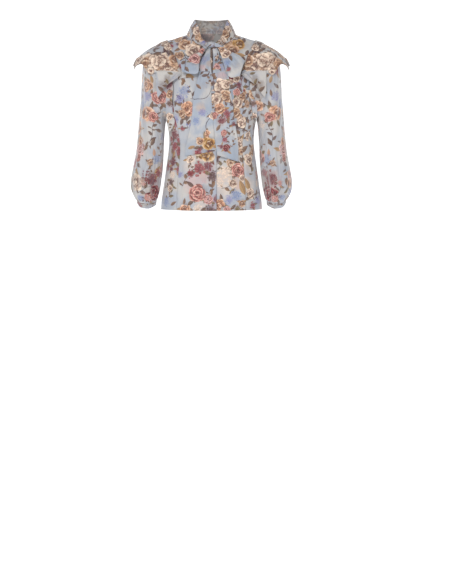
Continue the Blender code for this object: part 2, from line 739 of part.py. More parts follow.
def hanging(tree, table, offset, columns, folds):
    """A flat piece hanging before the front: rows down, columns across.

    Args:
        tree: the figure's search tree.
        table: rows of z_left, x_left, z_right, x_right.
        offset: how far its back skin's foot stands before the front, at the top and the bottom.
        columns: points across.
        folds: height and number of the soft folds across.
    """
    count = (len(table) - 1) * 2 + 1
    rows = rounded(table, np.linspace(0, len(table) - 1, count))
    share = np.linspace(0.0, 1.0, columns)[None, :]
    z = rows[:, :1] * (1 - share) + rows[:, 2:3] * share
    x = rows[:, 1:2] * (1 - share) + rows[:, 3:4] * share
    down = np.linspace(0.0, 1.0, count)[:, None]
    height, number = folds
    ripple = height * (0.5 - 0.5 * np.cos(2 * math.pi * number * share)) * smooth_step(down * 4)
    y = front_grid(tree, x, z) - offset[0] * (1 - down) - offset[1] * down - ripple
    return np.stack([x, y, z], axis=-1)


def make_tails(tree):
    """The two tails and the under layer of the bow."""
    for name, table, offset, columns, folds in (
        ("tail_right", TAIL_RIGHT_SIDE, TAIL_RIGHT_OFF, 7, (0.0010, 1)),
        ("tail_left", TAIL_LEFT_SIDE, TAIL_LEFT_OFF, 7, (0.0020, 2)),
        ("loop_under", LOOP_UNDER, LOOP_UNDER_OFF, 5, (0.0008, 1)),
        ("knot_fold", KNOT_FOLD, (0.0165, 0.0160), 5, (0.0030, 1)),
    ):
        grid = hanging(tree, table, offset, columns, folds)
        normals = normals_of(grid, False)
        if normals[..., 1].sum() > 0:
            normals = -normals
        wall(name, grid, normals, BOW_WALL, "pale")


def make_loops(tree):
    """Both loops, each one band folded back on itself."""
    for name, table in (("loop_right", LOOP_RIGHT_SIDE), ("loop_left", LOOP_LEFT_SIDE)):
        reach = np.concatenate([np.linspace(0.0, 5.0, LOOP_COLUMNS), np.linspace(5.0, 0.0, LOOP_COLUMNS)])
        rows = rounded(table, reach)
        front = np.arange(2 * LOOP_COLUMNS) < LOOP_COLUMNS
        share = np.linspace(0.0, 1.0, 6)[None, :]
        x = rows[:, :1] * (1 - share) + rows[:, 2:3] * share
        z = rows[:, 1:2] * (1 - share) + rows[:, 3:4] * share
        near = reach[:, None] / 5.0
        end = np.sqrt(1 - 0.75 * np.clip((near - 0.8) / 0.2, 0.0, 1.0) ** 2)
        depth = LOOP_DEPTH * np.sin(np.clip(near * 1.25, 0.0, 1.0) * math.pi / 2) * end
        skin = front_grid(tree, x, z)
        middle = skin - LOOP_BACK_OFF - LOOP_DEPTH / 2
        bulge = 0.0035 * np.sin(math.pi * share) * near
        half = depth / 2 + 0.0012
        y = np.where(front[:, None], middle - half - bulge, middle + half)
        inward = np.where(front[:, None], 0.0, 0.0008)
        x = x - np.sign(x) * inward
        grid = np.stack([x, y, z], axis=-1)
        normals = normals_of(grid, False)
        if normals[:LOOP_COLUMNS, :, 1].sum() > 0:
            normals = -normals
        wall(name, grid, normals, BOW_WALL, "pale")


def make_knot(tree):
    """The knot: a short band wrapped round the middle of the bow."""
    half_w, half_d, half_h, z_mid = KNOT
    y_mid = front_y(tree, 0.0, -0.052) - 0.0125
    turn = np.linspace(0.0, 2 * math.pi, 19)[:-1]
    rows = []
    for x in np.linspace(-1.0, 1.0, 7):
        swell = math.sqrt(1 - (0.62 * x) ** 2)
        rows.append(
            np.stack(
                [
                    np.full_like(turn, x * half_w),
                    y_mid - half_d * swell * np.cos(turn),
                    z_mid + half_h * swell * np.sin(turn),
                ],
                axis=-1,
            )
        )
    grid = np.array(rows)
    normals = normals_of(grid, True)
    middle = np.array([0.0, y_mid, z_mid])
    if ((grid - middle) * normals)[..., 1:].sum() < 0:
        normals = -normals
    wall("knot", grid, normals, KNOT_WALL, "pale", closed=True)


def main():
    """Builds every piece."""
    for obj in list(bpy.data.objects):
        bpy.data.objects.remove(obj, do_unlink=True)
    collection = bpy.data.collections.new("blouse")
    bpy.context.scene.collection.children.link(collection)
    make_body()
    make_sleeves()
    tree = figure_tree()
    make_collar()
    make_flounces(tree)
    make_frills(tree)
    make_tails(tree)
    make_loops(tree)
    make_knot(tree)


main()
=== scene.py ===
"""Looks of a printed georgette blouse with shoulder flounces and a tied neck bow, as worn.

Metres, +Z up. The front faces -Y, +X is the wearer's left, and the origin is the middle of the neck
at shoulder height. Every piece of cloth is a thin shell on the form of the CAD solid it stands for.
"""

from __future__ import annotations

import logging
import math
from dataclasses import dataclass, field, replace
from enum import Enum

import bpy
import numpy as np
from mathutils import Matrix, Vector
from mathutils.bvhtree import BVHTree


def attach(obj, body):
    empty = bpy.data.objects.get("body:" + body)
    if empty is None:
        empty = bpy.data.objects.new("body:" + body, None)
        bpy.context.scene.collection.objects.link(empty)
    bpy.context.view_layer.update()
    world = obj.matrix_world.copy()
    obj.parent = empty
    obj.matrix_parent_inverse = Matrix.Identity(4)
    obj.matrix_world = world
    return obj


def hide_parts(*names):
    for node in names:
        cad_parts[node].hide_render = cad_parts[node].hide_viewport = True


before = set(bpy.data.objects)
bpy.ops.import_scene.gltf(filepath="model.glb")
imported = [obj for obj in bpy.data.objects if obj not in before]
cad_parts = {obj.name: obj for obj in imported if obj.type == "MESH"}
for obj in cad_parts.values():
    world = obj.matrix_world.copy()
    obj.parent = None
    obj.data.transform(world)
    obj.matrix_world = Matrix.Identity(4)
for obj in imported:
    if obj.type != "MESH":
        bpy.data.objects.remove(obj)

LOG = logging.getLogger("blouse")
MILLIMETRE = 0.001
TURN = 2 * math.pi
AHEAD = np.array([0.0, -1.0, 0.0])
HEM_LINES = np.array([0.15, 0.35, 0.6])  # extra lines beside an edge, as shares of a step
FOLD_GAIN = 1.4  # the creases are this much deeper than in their tables


# ---------------------------------------------------------------- tables and curves


def _between(rows: tuple, t: np.ndarray) -> tuple[np.ndarray, np.ndarray, np.ndarray]:
    """Finds places in a table.

    Args:
        rows: the table, one row for each whole number.
        t: the places, any shape.
    Returns:
        The table as numbers, the row below each place, and how far the place is past it.
    """
    table = np.asarray(rows, dtype=float)
    last = len(table) - 1
    t = np.clip(np.asarray(t, dtype=float), 0.0, last)
    i = np.minimum(t.astype(int), last - 1)
    return table, i, (t - i).reshape(t.shape + (1,) * (table.ndim - 1))


def along(rows: tuple, t: np.ndarray) -> np.ndarray:
    """Reads a table as a smooth curve that never overshoots its rows.

    Args:
        rows: the table, one row for each whole number.
        t: where to read it, any shape.
    Returns:
        One row of numbers for each t.
    """
    table, i, f = _between(rows, t)
    step = np.diff(table, axis=0)
    slope = np.zeros_like(table)
    same = step[:-1] * step[1:] > 0
    total = np.where(same, step[:-1] + step[1:], 1.0)
    slope[1:-1] = np.where(same, 2 * step[:-1] * step[1:] / total, 0.0)
    slope[0], slope[-1] = step[0], step[-1]
    ff, fff = f * f, f * f * f
    ends = table[i] * (2 * fff - 3 * ff + 1) + table[i + 1] * (3 * ff - 2 * fff)
    return ends + slope[i] * (fff - 2 * ff + f) + slope[i + 1] * (fff - ff)


def rounded(rows: tuple, t: np.ndarray) -> np.ndarray:
    """The same as along, with rounder turns for outlines that go to and fro.

    Args:
        rows: the table.
        t: where to read it.
    Returns:
        One row of numbers for each t.
    """
    table, i, f = _between(rows, t)
    padded = np.concatenate([2 * table[:1] - table[1:2], table, 2 * table[-1:] - table[-2:-1]])
    a, b, c, d = (padded[i + k] for k in range(4))
    return b + 0.5 * f * (c - a + f * (2 * a - 5 * b + 4 * c - d + f * (3 * (b - c) + d - a)))


def smooth_step(x: np.ndarray) -> np.ndarray:
    """0 below 0, 1 above 1, and a soft rise between."""
    x = np.clip(x, 0.0, 1.0)
    return x * x * (3 - 2 * x)


def unit(v: np.ndarray) -> np.ndarray:
    """The vectors of v at length one."""
    return v / np.maximum(np.linalg.norm(v, axis=-1, keepdims=True), 1e-12)


def travelled(points: np.ndarray, axis: int) -> np.ndarray:
    """The distance run along an axis of a grid up to each of its points."""
    step = np.linalg.norm(np.diff(points, axis=axis), axis=-1)
    return np.concatenate([np.zeros_like(step.take([0], axis)), np.cumsum(step, axis=axis)], axis=axis)


def quads(grid: np.ndarray) -> np.ndarray:
    """What a grid holds at the four corners of each of its fields."""
    return np.stack([grid[:-1, :-1], grid[:-1, 1:], grid[1:, 1:], grid[1:, :-1]], axis=2)


def rims(grid: np.ndarray, closed: bool) -> list[tuple[np.ndarray, np.ndarray]]:
    """What a grid holds at both ends of each step along its edges, without the sides if it is closed."""
    ends = [(grid[0, :-1], grid[0, 1:]), (grid[-1, 1:], grid[-1, :-1])]
    return ends if closed else [*ends, (grid[1:, 0], grid[:-1, 0]), (grid[:-1, -1], grid[1:, -1])]


def grid_normals(points: np.ndarray, toward: np.ndarray) -> np.ndarray:
    """Normals of a grid of points.

    Args:
        points: rows by columns by 3.
        toward: vectors that the normals lean to on the whole, of a shape that fits the grid.
    Returns:
        Unit vectors of the grid's shape.
    """
    normals = unit(np.cross(np.gradient(points, axis=1), np.gradient(points, axis=0)))
    return normals if (normals * toward).sum() >= 0 else -normals


def close_ring(normals: np.ndarray) -> None:
    """Gives the first and the last column of a closed piece the same normals."""
    normals[:, 0] = normals[:, -1] = unit(normals[:, 0] + normals[:, -1])


def edged(count: int, both: bool = False) -> np.ndarray:
    """Shares from 0 to 1, closer together at the last or at both ends for a rolled hem.

    Args:
        count: how many shares there are without the extra ones.
        both: whether the first end has them too.
    Returns:
        The shares in order.
    """
    shares = np.linspace(0.0, 1.0, count)
    near = HEM_LINES / (count - 1)
    first = near if both else near[:0]
    return np.concatenate([shares[:1], first, shares[1:-1], 1.0 - near[::-1], shares[-1:]])


def across(lines: np.ndarray, share: np.ndarray) -> list[np.ndarray]:
    """Places across a strip whose lines give two coordinates of each edge."""
    return [lines[:, k : k + 1] * (1 - share) + lines[:, k + 2 : k + 3] * share for k in (0, 1)]


def finer(points: np.ndarray, rows: np.ndarray, columns: np.ndarray) -> np.ndarray:
    """A grid drawn again at shares of its height and width, on smooth curves through its points."""
    tall = rounded(points, rows * (len(points) - 1))
    return rounded(tall.swapaxes(0, 1), columns * (points.shape[1] - 1)).swapaxes(0, 1)


def flattened(points: np.ndarray) -> np.ndarray:
    """Lays a grid of cloth out flat.

    Args:
        points: rows by columns by 3.
    Returns:
        Where each point lies, in metres from the middle column and the first row.
    """
    u = travelled(points, 1)
    fall = np.linalg.norm(np.diff(points, axis=0), axis=-1).mean(axis=1)
    v = -np.concatenate([[0.0], np.cumsum(fall)])
    return np.stack([u - u[:, [u.shape[1] // 2]], np.broadcast_to(v[:, None], u.shape)], axis=-1)


def wrinkle(u: np.ndarray, v: np.ndarray, seed: int, size: float) -> np.ndarray:
    """A faint, uneven swell of the cloth from crossing waves.

    Args:
        u: places across.
        v: places up.
        seed: fixes the waves.
        size: about how long they are.
    Returns:
        Heights, mostly between -1 and 1.
    """
    draw = np.random.default_rng(seed)
    waves = 7
    total = np.zeros_like(u)
    for _ in range(waves):
        turn, phase = draw.uniform(0, TURN, 2)
        wave = (u * math.cos(turn) + v * math.sin(turn)) * TURN / (size * draw.uniform(0.7, 2.2))
        total += np.sin(wave + phase + 1.3 * np.sin(wave * 0.37 + 2 * phase))
    return total / waves * 1.6


@dataclass(frozen=True)
class Crease:
    """A soft fold, placed by its two ends as seen from the front or from behind.

    x0, z0, x1 and z1 are its ends, width its half width, and depth its height, less than 0 for a
    trough. skew is the width of the side on the right of its run as a share of the other side's,
    and bend is how far its middle stands to the left of a straight line.
    """

    x0: float
    z0: float
    x1: float
    z1: float
    width: float
    depth: float
    skew: float
    bend: float

    def lift(self, x: np.ndarray, z: np.ndarray) -> np.ndarray:
        """How far the crease moves the cloth out at each place.

        Args:
            x: places across.
            z: heights, of the same shape.
        Returns:
            Distances along the cloth's normal.
        """
        run = np.array([self.x1 - self.x0, self.z1 - self.z0])
        length = float(np.hypot(*run))
        run = run / length
        from_start = (x - self.x0) * run[0] + (z - self.z0) * run[1]
        t = np.clip(from_start / length, 0.0, 1.0)
        phase = 40.0 * self.x0 + 90.0 * self.z0
        sway = self.width * (0.22 * np.sin(5.1 * t + phase) + 0.12 * np.sin(11.7 * t + 2 * phase))
        off = (z - self.z0) * run[0] - (x - self.x0) * run[1] - self.bend * 4 * t * (1 - t) - sway
        width = self.width * (0.85 + 0.25 * np.sin(3.3 * t + 3 * phase)) * np.where(off < 0, self.skew, 1.0)
        q = np.hypot(off, from_start - t * length) / width
        fade = np.sin(math.pi * (0.10 + 0.80 * t)) ** 0.7 * (0.85 + 0.20 * np.sin(6.1 * t + phase))
        return self.depth * fade * (np.exp(-q * q) - 0.20 * np.exp(-((q / 2.3) ** 2)))

    def other_side(self) -> Crease:
        """The same crease on the wearer's other side, run from end to start to keep its skew."""
        return replace(self, x0=-self.x1, z0=self.z1, x1=-self.x0, z1=self.z0)


def creases(*rows: tuple) -> tuple[Crease, ...]:
    """Creases from a table.

    Args:
        rows: each a Crease's numbers in millimetres, but skew as it is.
    Returns:
        The creases, FOLD_GAIN times as deep.
    """
    mm = MILLIMETRE
    return tuple(
        Crease(x0 * mm, z0 * mm, x1 * mm, z1 * mm, width * mm, depth * FOLD_GAIN * mm, skew, bend * mm)
        for x0, z0, x1, z1, width, depth, skew, bend in rows
    )


def mirrored(things: tuple) -> tuple:
    """The same creases, motifs or scatters on the wearer's other side."""
    return tuple(thing.other_side() for thing in things)


def sided(side: float, *tables: tuple) -> list[tuple]:
    """Tables of the wearer's left side as they are for side 1, or mirrored for side -1."""
    return [table if side > 0 else mirrored(table) for table in tables]


def turned(side: float, *grids: np.ndarray) -> list[np.ndarray]:
    """Grids of the wearer's left side as they are for side 1, or mirrored for side -1."""
    return [grid * np.array([side, *[1.0] * (grid.shape[-1] - 1)]) for grid in grids]


# ---------------------------------------------------------------- colours and the print's motifs


def linear(code: str) -> tuple[float, float, float, float]:
    """An sRGB hex colour as linear light with full alpha."""
    parts = [int(code[i : i + 2], 16) / 255 for i in (1, 3, 5)]
    return (*(c / 12.92 if c <= 0.04045 else ((c + 0.055) / 1.055) ** 2.4 for c in parts), 1.0)


class Dye(Enum):
    """Main colour of a motif."""

    CREAM = "#EAD1BE"
    TAN = "#CBA488"
    OCHRE = "#BF935C"
    APRICOT = "#E0AC8E"
    BLUSH = "#D6928A"
    PINK = "#DFA9A6"
    MAROON = "#93303F"
    WINE = "#741F33"
    VIOLET = "#787DB6"
    BLUE = "#7489B8"
    BRONZE = "#80593F"
    OLIVE = "#7B6B45"
    PLUM = "#54363A"
    UMBER = "#5F4034"
    STEM = "#4B3A3C"
    SMOKE = "#8E95A8"


CREAM, TAN, OCHRE, APRICOT, BLUSH, PINK, MAROON, WINE, *_ = Dye
*_, VIOLET, BLUE, BRONZE, OLIVE, PLUM, UMBER, STEM, SMOKE = Dye


class Layer(Enum):
    """Screens of the print, in the order they are laid down."""

    WASH = "wash"
    STEMS = "stems"
    SPRAY = "spray"
    CLUSTER = "cluster"
    BLOOM = "bloom"
    BLOOM_OVER = "bloom_over"


class Kind(Enum):
    """Motifs: the screen they are on and their number there."""

    SMUDGE = (Layer.WASH, 1)
    LEAF = (Layer.SPRAY, 1)
    SPRIG = (Layer.STEMS, 2)
    BRANCH = (Layer.STEMS, 3)
    BERRIES = (Layer.CLUSTER, 1)
    FLORETS = (Layer.CLUSTER, 2)
    PEONY = (Layer.BLOOM, 1)
    CABBAGE_ROSE = (Layer.BLOOM, 2)
    PEONY_OVER = (Layer.BLOOM_OVER, 1)
    CABBAGE_ROSE_OVER = (Layer.BLOOM_OVER, 2)

    @property
    def layer(self) -> Layer:
        """The screen the motif is on."""
        return self.value[0]

    @property
    def blooms(self) -> bool:
        """Whether the motif is a large flower."""
        return self.layer in (Layer.BLOOM, Layer.BLOOM_OVER)

    @property
    def gain(self) -> float:
        """How much larger than its core, which the tables give, the motif is drawn."""
        own = {Kind.FLORETS: 1.5, Kind.BERRIES: 1.2, Kind.SPRIG: 1.1}
        return own.get(self, 1.22 if self.blooms else 1.05)


SMUDGE, LEAF, SPRIG, BRANCH, BERRIES, FLORETS, PEONY, ROSE, PEONY2, ROSE2 = Kind


@dataclass(frozen=True)
class Motif:
    """One motif of the print: its kind, the place of its middle, its half size and its turn."""

    kind: Kind
    x: float
    z: float
    size: float
    turn: float
    dye: Dye
    zone: int = 0

    def other_side(self) -> Motif:
        """The same motif on the wearer's other side."""
        return replace(self, x=-self.x, turn=math.pi - self.turn)


def motifs(*rows: tuple) -> tuple[Motif, ...]:
    """Motifs from a table.

    Args:
        rows: each a kind, x, z and half size in millimetres, turn in degrees, dye and maybe zone.
    Returns:
        The motifs.
    """
    mm = MILLIMETRE
    return tuple(
        Motif(kind, x * mm, z * mm, size * kind.gain * mm, math.radians(turn), dye, *zone)
        for kind, x, z, size, turn, dye, *zone in rows
    )


@dataclass(frozen=True)
class Spot:
    """A motif seated on the cloth: its middle, its own two axes, the cloth's normal and its size."""

    kind: Kind
    middle: np.ndarray
    right: np.ndarray
    up: np.ndarray
    normal: np.ndarray
    size: float
    dye: Dye
    zone: int


Mix = tuple[tuple[Kind, float, float, tuple[Dye, ...]], ...]
# Each row: a kind, the share of tries that it gets, its half size in metres and its dyes.
MIXED: Mix = (
    (PEONY, 1.6, 0.036, (CREAM, TAN, CREAM)),
    (ROSE, 2.0, 0.034, (BLUSH, APRICOT, PINK)),
    (PEONY2, 1.2, 0.024, (APRICOT, CREAM)),
    (BERRIES, 2.0, 0.024, (MAROON, WINE)),
    (FLORETS, 1.6, 0.022, (VIOLET, BLUE, CREAM)),
    (SPRIG, 2.4, 0.036, (BRONZE, PLUM, UMBER)),
    (LEAF, 1.2, 0.017, (BRONZE, OLIVE, PLUM, UMBER)),
)
SMALL: Mix = (
    (FLORETS, 1.2, 0.017, (VIOLET, CREAM, BLUE)),
    (BERRIES, 0.8, 0.014, (MAROON, PLUM)),
    (SPRIG, 0.5, 0.024, (BRONZE, PLUM, UMBER)),
    (SMUDGE, 3.0, 0.034, (SMOKE, TAN, PINK)),
)
PEONIES: Mix = (
    (PEONY, 3.0, 0.032, (CREAM, TAN, CREAM)),
    (PEONY2, 3.0, 0.024, (CREAM, TAN, CREAM)),
    (ROSE, 1.5, 0.017, (CREAM, TAN, APRICOT)),
    (BERRIES, 1.0, 0.012, (PLUM, UMBER)),
    (LEAF, 1.5, 0.014, (UMBER, PLUM, BRONZE)),
    (SMUDGE, 3.0, 0.024, (UMBER, BRONZE)),
)
VINE: Mix = (
    (BERRIES, 4.0, 0.020, (WINE, MAROON)),
    (BERRIES, 2.0, 0.013, (MAROON, WINE)),
    (LEAF, 2.0, 0.012, (PLUM, BRONZE, UMBER)),
    (SMUDGE, 1.0, 0.020, (WINE, PLUM)),
)
LEAFY: Mix = (
    (SPRIG, 3.0, 0.030, (PLUM, BRONZE, UMBER)),
    (LEAF, 0.8, 0.017, (PLUM, UMBER, OLIVE, BRONZE)),
    (BRANCH, 1.0, 0.026, (STEM,)),
    (PEONY, 0.6, 0.014, (CREAM,)),
    (SMUDGE, 1.4, 0.024, (SMOKE, BRONZE)),
)


@dataclass(frozen=True)
class Scatter:
    """Motifs strewn over the parts of a piece that the tables leave bare, by a fixed seed.

    density is the number of tries for each square metre, box limits x and z in millimetres, and
    close is how far apart the motifs keep, as a share of what is usual.
    """

    seed: int
    density: float = 5200.0
    mix: Mix = MIXED
    box: tuple[float, float, float, float] | None = None
    close: float = 1.0

    def takes(self, point: np.ndarray) -> bool:
        """Whether a motif may be seated at a point.

        Args:
            point: x, y and z in metres.
        Returns:
            True inside the box, or anywhere without one.
        """
        if self.box is None:
            return True
        x, z = point[0] * 1000, point[2] * 1000
        return self.box[0] <= x <= self.box[1] and self.box[2] <= z <= self.box[3]

    def other_side(self) -> Scatter:
        """Mirrors the scatter.

        Returns:
            The same scatter on the wearer's other side.
        """
        if self.box is None:
            return self
        x0, x1, z0, z1 = self.box
        return replace(self, box=(-x1, -x0, z0, z1))


# ---------------------------------------------------------------- cloth

HEM_AT, HEM_WIDTH, HEM_RISE, HEM_DROP = 0.0008, 0.0013, 0.0006, 0.0007  # a rolled hem's section
SEAM_DIP, SEAM_WIDTH = 0.0011, 0.0022  # how a seam draws the cloth in
PUFF_RISE, PUFF_AT, PUFF_WIDTH = 0.0005, 0.0065, 0.0035  # and the slight puff beside it
OTHER_SIDE, OTHER_ZONE = 1.0, 0.5  # added to a squared distance to rule a point out
SAME_LAYER_GAP, OTHER_LAYER_GAP = 0.95, 0.66  # least gaps of strewn motifs, as shares of their sizes
GOLDEN = 0.381966  # spreads the motifs' seeds evenly
LEAF_DYES = (BRONZE, UMBER, OLIVE, PLUM, OCHRE)
BLOOM_SHADOWS, BERRY_SHADOWS = (UMBER, PLUM, BRONZE), (WINE, PLUM, MAROON)
SHADOW_SIZE = 1.25  # of the wash behind a flower, as a share of the flower
LEAF_SIZES = (0.006, 0.017)  # the least and the most of a leaf beside a flower
SPRIG_SIZE = 0.030  # the most of a sprig beside a flower
PRINT_REACH = 1.32  # how far from its middle a motif is drawn, in half sizes
OUT_OF_REACH = 9.0  # added to that distance where a face is not the motif's


def linked(name: str, data: bpy.types.ID) -> bpy.types.Object:
    """Puts a new object in the scene.

    Args:
        name: its name.
        data: its mesh, lamp or camera.
    Returns:
        The object.
    """
    obj = bpy.data.objects.new(name, data)
    bpy.context.scene.collection.objects.link(obj)
    return obj


@dataclass
class Cloth:
    """One cut piece of cloth as a fine grid of points.

    skin holds the outer skin's points by rows and columns, out its normals and flat where each
    point lies on the piece laid flat. placed holds the motifs seen from the front, behind those seen
    from behind. hems names the free, rolled edges: t top, b bottom, l first column, r last column.
    zone numbers the points of parts whose print doesn't match, and a closed piece is a tube.
    """

    node: str
    slot: str
    skin: np.ndarray
    out: np.ndarray
    flat: np.ndarray
    placed: tuple[Motif, ...] = ()
    scatters: tuple[Scatter, ...] = ()
    hems: str = ""
    behind: tuple[Motif, ...] = ()
    thickness: float = 0.0005
    zone: np.ndarray | None = None
    closed: bool = False
    leaf_gap: float = 0.82
    large_bloom: float = 0.022
    roll_depth: np.ndarray = field(default_factory=lambda: np.zeros((1, 1)))

    @property
    def name(self) -> str:
        """The shell's name."""
        return self.node + "_cloth"

    def raise_by(self, lift: np.ndarray) -> None:
        """Moves the skin out along its normals."""
        self.skin = self.skin + self.out * lift[..., None]

    def gap(self, side: str) -> np.ndarray:
        """Measures how far the cloth is from one of its edges.

        Args:
            side: t top, b bottom, l first column, r last column.
        Returns:
            Each point's distance.
        """
        skin = self.skin
        edge = {"t": skin[:1], "b": skin[-1:], "l": skin[:, :1], "r": skin[:, -1:]}[side]
        return np.linalg.norm(skin - edge, axis=-1)

    def fold(self, folds: tuple[Crease, ...], behind: bool = False, edge_on: float = 0.12) -> None:
        """Moves the skin out and in along creases.

        Args:
            folds: the creases.
            behind: whether they are seen from behind and not from the front.
            edge_on: how far the cloth has to face that way for them to begin.
        """
        facing = -self.out[..., 1] * (-1 if behind else 1)
        share = smooth_step((facing - edge_on) / 0.35)
        self.raise_by(sum(c.lift(self.skin[..., 0], self.skin[..., 2]) for c in folds) * share)

    def ruffle(self, height: float, size: float, seed: int) -> None:
        """Gives the skin a faint, uneven swell."""
        self.raise_by(wrinkle(self.flat[..., 0], self.flat[..., 1], seed, size) * height)

    def sew(self, sides: str) -> None:
        """Draws the skin in along its seams, with a slight puff beside each.

        Args:
            sides: the edges with a seam, as for gap.
        """
        for side in sides:
            gap = self.gap(side)
            puff = PUFF_RISE * np.exp(-(((gap - PUFF_AT) / PUFF_WIDTH) ** 2))
            self.raise_by(-SEAM_DIP * np.exp(-((gap / SEAM_WIDTH) ** 2)) + puff)

    def refresh(self) -> None:
        """Rolls the free edges and works the normals out again after the skin has moved."""
        lift = np.zeros(self.skin.shape[:2])
        for side in self.hems:
            lift = np.maximum(lift, np.exp(-(((self.gap(side) - HEM_AT) / HEM_WIDTH) ** 2)))
        self.raise_by(HEM_RISE * lift)
        self.roll_depth = lift * HEM_DROP
        self.out = grid_normals(self.skin, self.out)

    def seam(self, side: str, inset: float) -> np.ndarray:
        """A line on the skin along one edge.

        Args:
            side: t top, b bottom, l first column, r last column.
            inset: how far in from the edge it runs.
        Returns:
            Its points, just above the cloth.
        """
        grid = self.skin + self.out * 0.0001
        grid = grid if side in "tb" else grid.swapaxes(0, 1)
        grid = grid if side in "tl" else grid[::-1]
        run = travelled(grid, 0)
        columns = range(grid.shape[1])
        return np.array([[np.interp(inset, run[:, c], grid[:, c, k]) for k in range(3)] for c in columns])

    def _seat(
        self, kind: Kind, at: tuple, size: float, turn: float, dye: Dye, zone: int, shift: tuple
    ) -> Spot:
        """Seats a motif on the grid.

        Args:
            kind: the motif's kind.
            at: row and column of the nearest point.
            size: its half size.
            turn: its turn against the level.
            dye: its main colour.
            zone: the part of the piece that it stays in.
            shift: how far its middle lies from the point, sideways and up the cloth.
        Returns:
            The seated motif.
        """
        normal = self.out[at]
        side = unit(np.cross([0.0, 0.0, 1.0], normal) + np.array([1e-6, 0.0, 0.0]))
        rise = np.cross(normal, side)
        middle = self.skin[at] + side * shift[0] + rise * shift[1]
        c, s = math.cos(turn), math.sin(turn)
        return Spot(kind, middle, side * c + rise * s, rise * c - side * s, normal, size, dye, zone)

    def _nearest(self, far: np.ndarray) -> tuple:
        """Row and column of the least of a grid of numbers."""
        return np.unravel_index(np.argmin(far), far.shape)

    def _near(self, point: np.ndarray, normal: np.ndarray) -> tuple:
        """Row and column of the grid point nearest to a place, on the side that faces its way."""
        away = np.where((self.out * normal).sum(axis=-1) > 0, 0.0, OTHER_SIDE)
        return self._nearest(((self.skin - point) ** 2).sum(axis=-1) + away)

    def _wreath(self, spot: Spot, draw: np.random.Generator) -> list[Spot]:
        """Seats leaves, sprigs and a soft wash behind a bloom or berries.

        Args:
            spot: the motif.
            draw: the random draws.
        Returns:
            What was seated, which is nothing for other kinds.
        """
        blooms = spot.kind.blooms
        if not blooms and spot.kind is not BERRIES:
            return []

        def seated(kind: Kind, place: np.ndarray, size: float, turn: float, dye: Dye) -> Spot:
            """A motif on the cloth nearest to a place."""
            at = self._near(place, spot.normal)
            return self._seat(kind, at, size, turn, dye, spot.zone, (0, 0))

        shadow = (BLOOM_SHADOWS if blooms else BERRY_SHADOWS)[draw.integers(3)]
        made = [seated(SMUDGE, spot.middle, spot.size * SHADOW_SIZE, 0.0, shadow)]
        first = draw.uniform(0, 6.28)
        for k in range(draw.integers(3, 6) if blooms else 2):
            turn = first + k * 2.1 + draw.uniform(-0.4, 0.4)
            size = min(max(spot.size * draw.uniform(0.45, 0.70), LEAF_SIZES[0]), LEAF_SIZES[1])
            aim = spot.right * math.cos(turn) + spot.up * math.sin(turn)
            place = spot.middle + aim * spot.size * 1.05
            level = seated(LEAF, place, size, 0.0, BRONZE)
            lean = math.atan2(float(aim @ level.up), float(aim @ level.right)) + draw.uniform(-0.5, 0.5)
            made.append(seated(LEAF, place, size, lean, LEAF_DYES[draw.integers(5)]))
            if blooms and k < (2 if spot.size > self.large_bloom else 1):
                sprig = min(spot.size * 1.15, SPRIG_SIZE)
                far = spot.middle + aim * (spot.size + sprig * 0.55)
                made.append(seated(SPRIG, far, sprig, lean + 0.4, LEAF_DYES[1 + 2 * k % 4]))
        return made

    def _spots(self) -> list[Spot]:
        """Seats every motif of the piece.

        Returns:
            Those of its tables, their wreaths and the strewn ones.
        """
        spots = []
        for table, sign in ((self.placed, -1), (self.behind, 1)):
            away = np.where(self.out[..., 1] * sign > -0.05, 0.0, OTHER_SIDE)
            for m in table:
                far = (self.skin[..., 0] - m.x) ** 2 + (self.skin[..., 2] - m.z) ** 2 + away
                if self.zone is not None:
                    far = far + np.where(self.zone == m.zone, 0.0, OTHER_ZONE)
                at = self._nearest(far)
                shift = ((m.x - self.skin[at][0]) * -sign, m.z - self.skin[at][2])
                spots.append(self._seat(m.kind, at, m.size, m.turn, m.dye, m.zone, shift))
        draw = np.random.default_rng(7 + len(self.name))
        for spot in list(spots):
            spots += self._wreath(spot, draw)
        for scatter in self.scatters:
            spots += self._strewn(scatter, spots)
        return self._thinned(spots)

    def _thinned(self, spots: list[Spot]) -> list[Spot]:
        """Takes out the leaves and sprigs that another one on their screen would cut.

        Args:
            spots: the seated motifs.
        Returns:
            Those that stay, screen by screen.
        """
        kept: list[Spot] = []
        for layer in Layer:
            clear: list[Spot] = []
            for spot in (s for s in spots if s.kind.layer is layer):
                gaps = (np.linalg.norm(spot.middle - s.middle) / (spot.size + s.size) for s in clear)
                if layer not in (Layer.STEMS, Layer.SPRAY) or all(gap > self.leaf_gap for gap in gaps):
                    clear.append(spot)
            kept += clear
        return kept

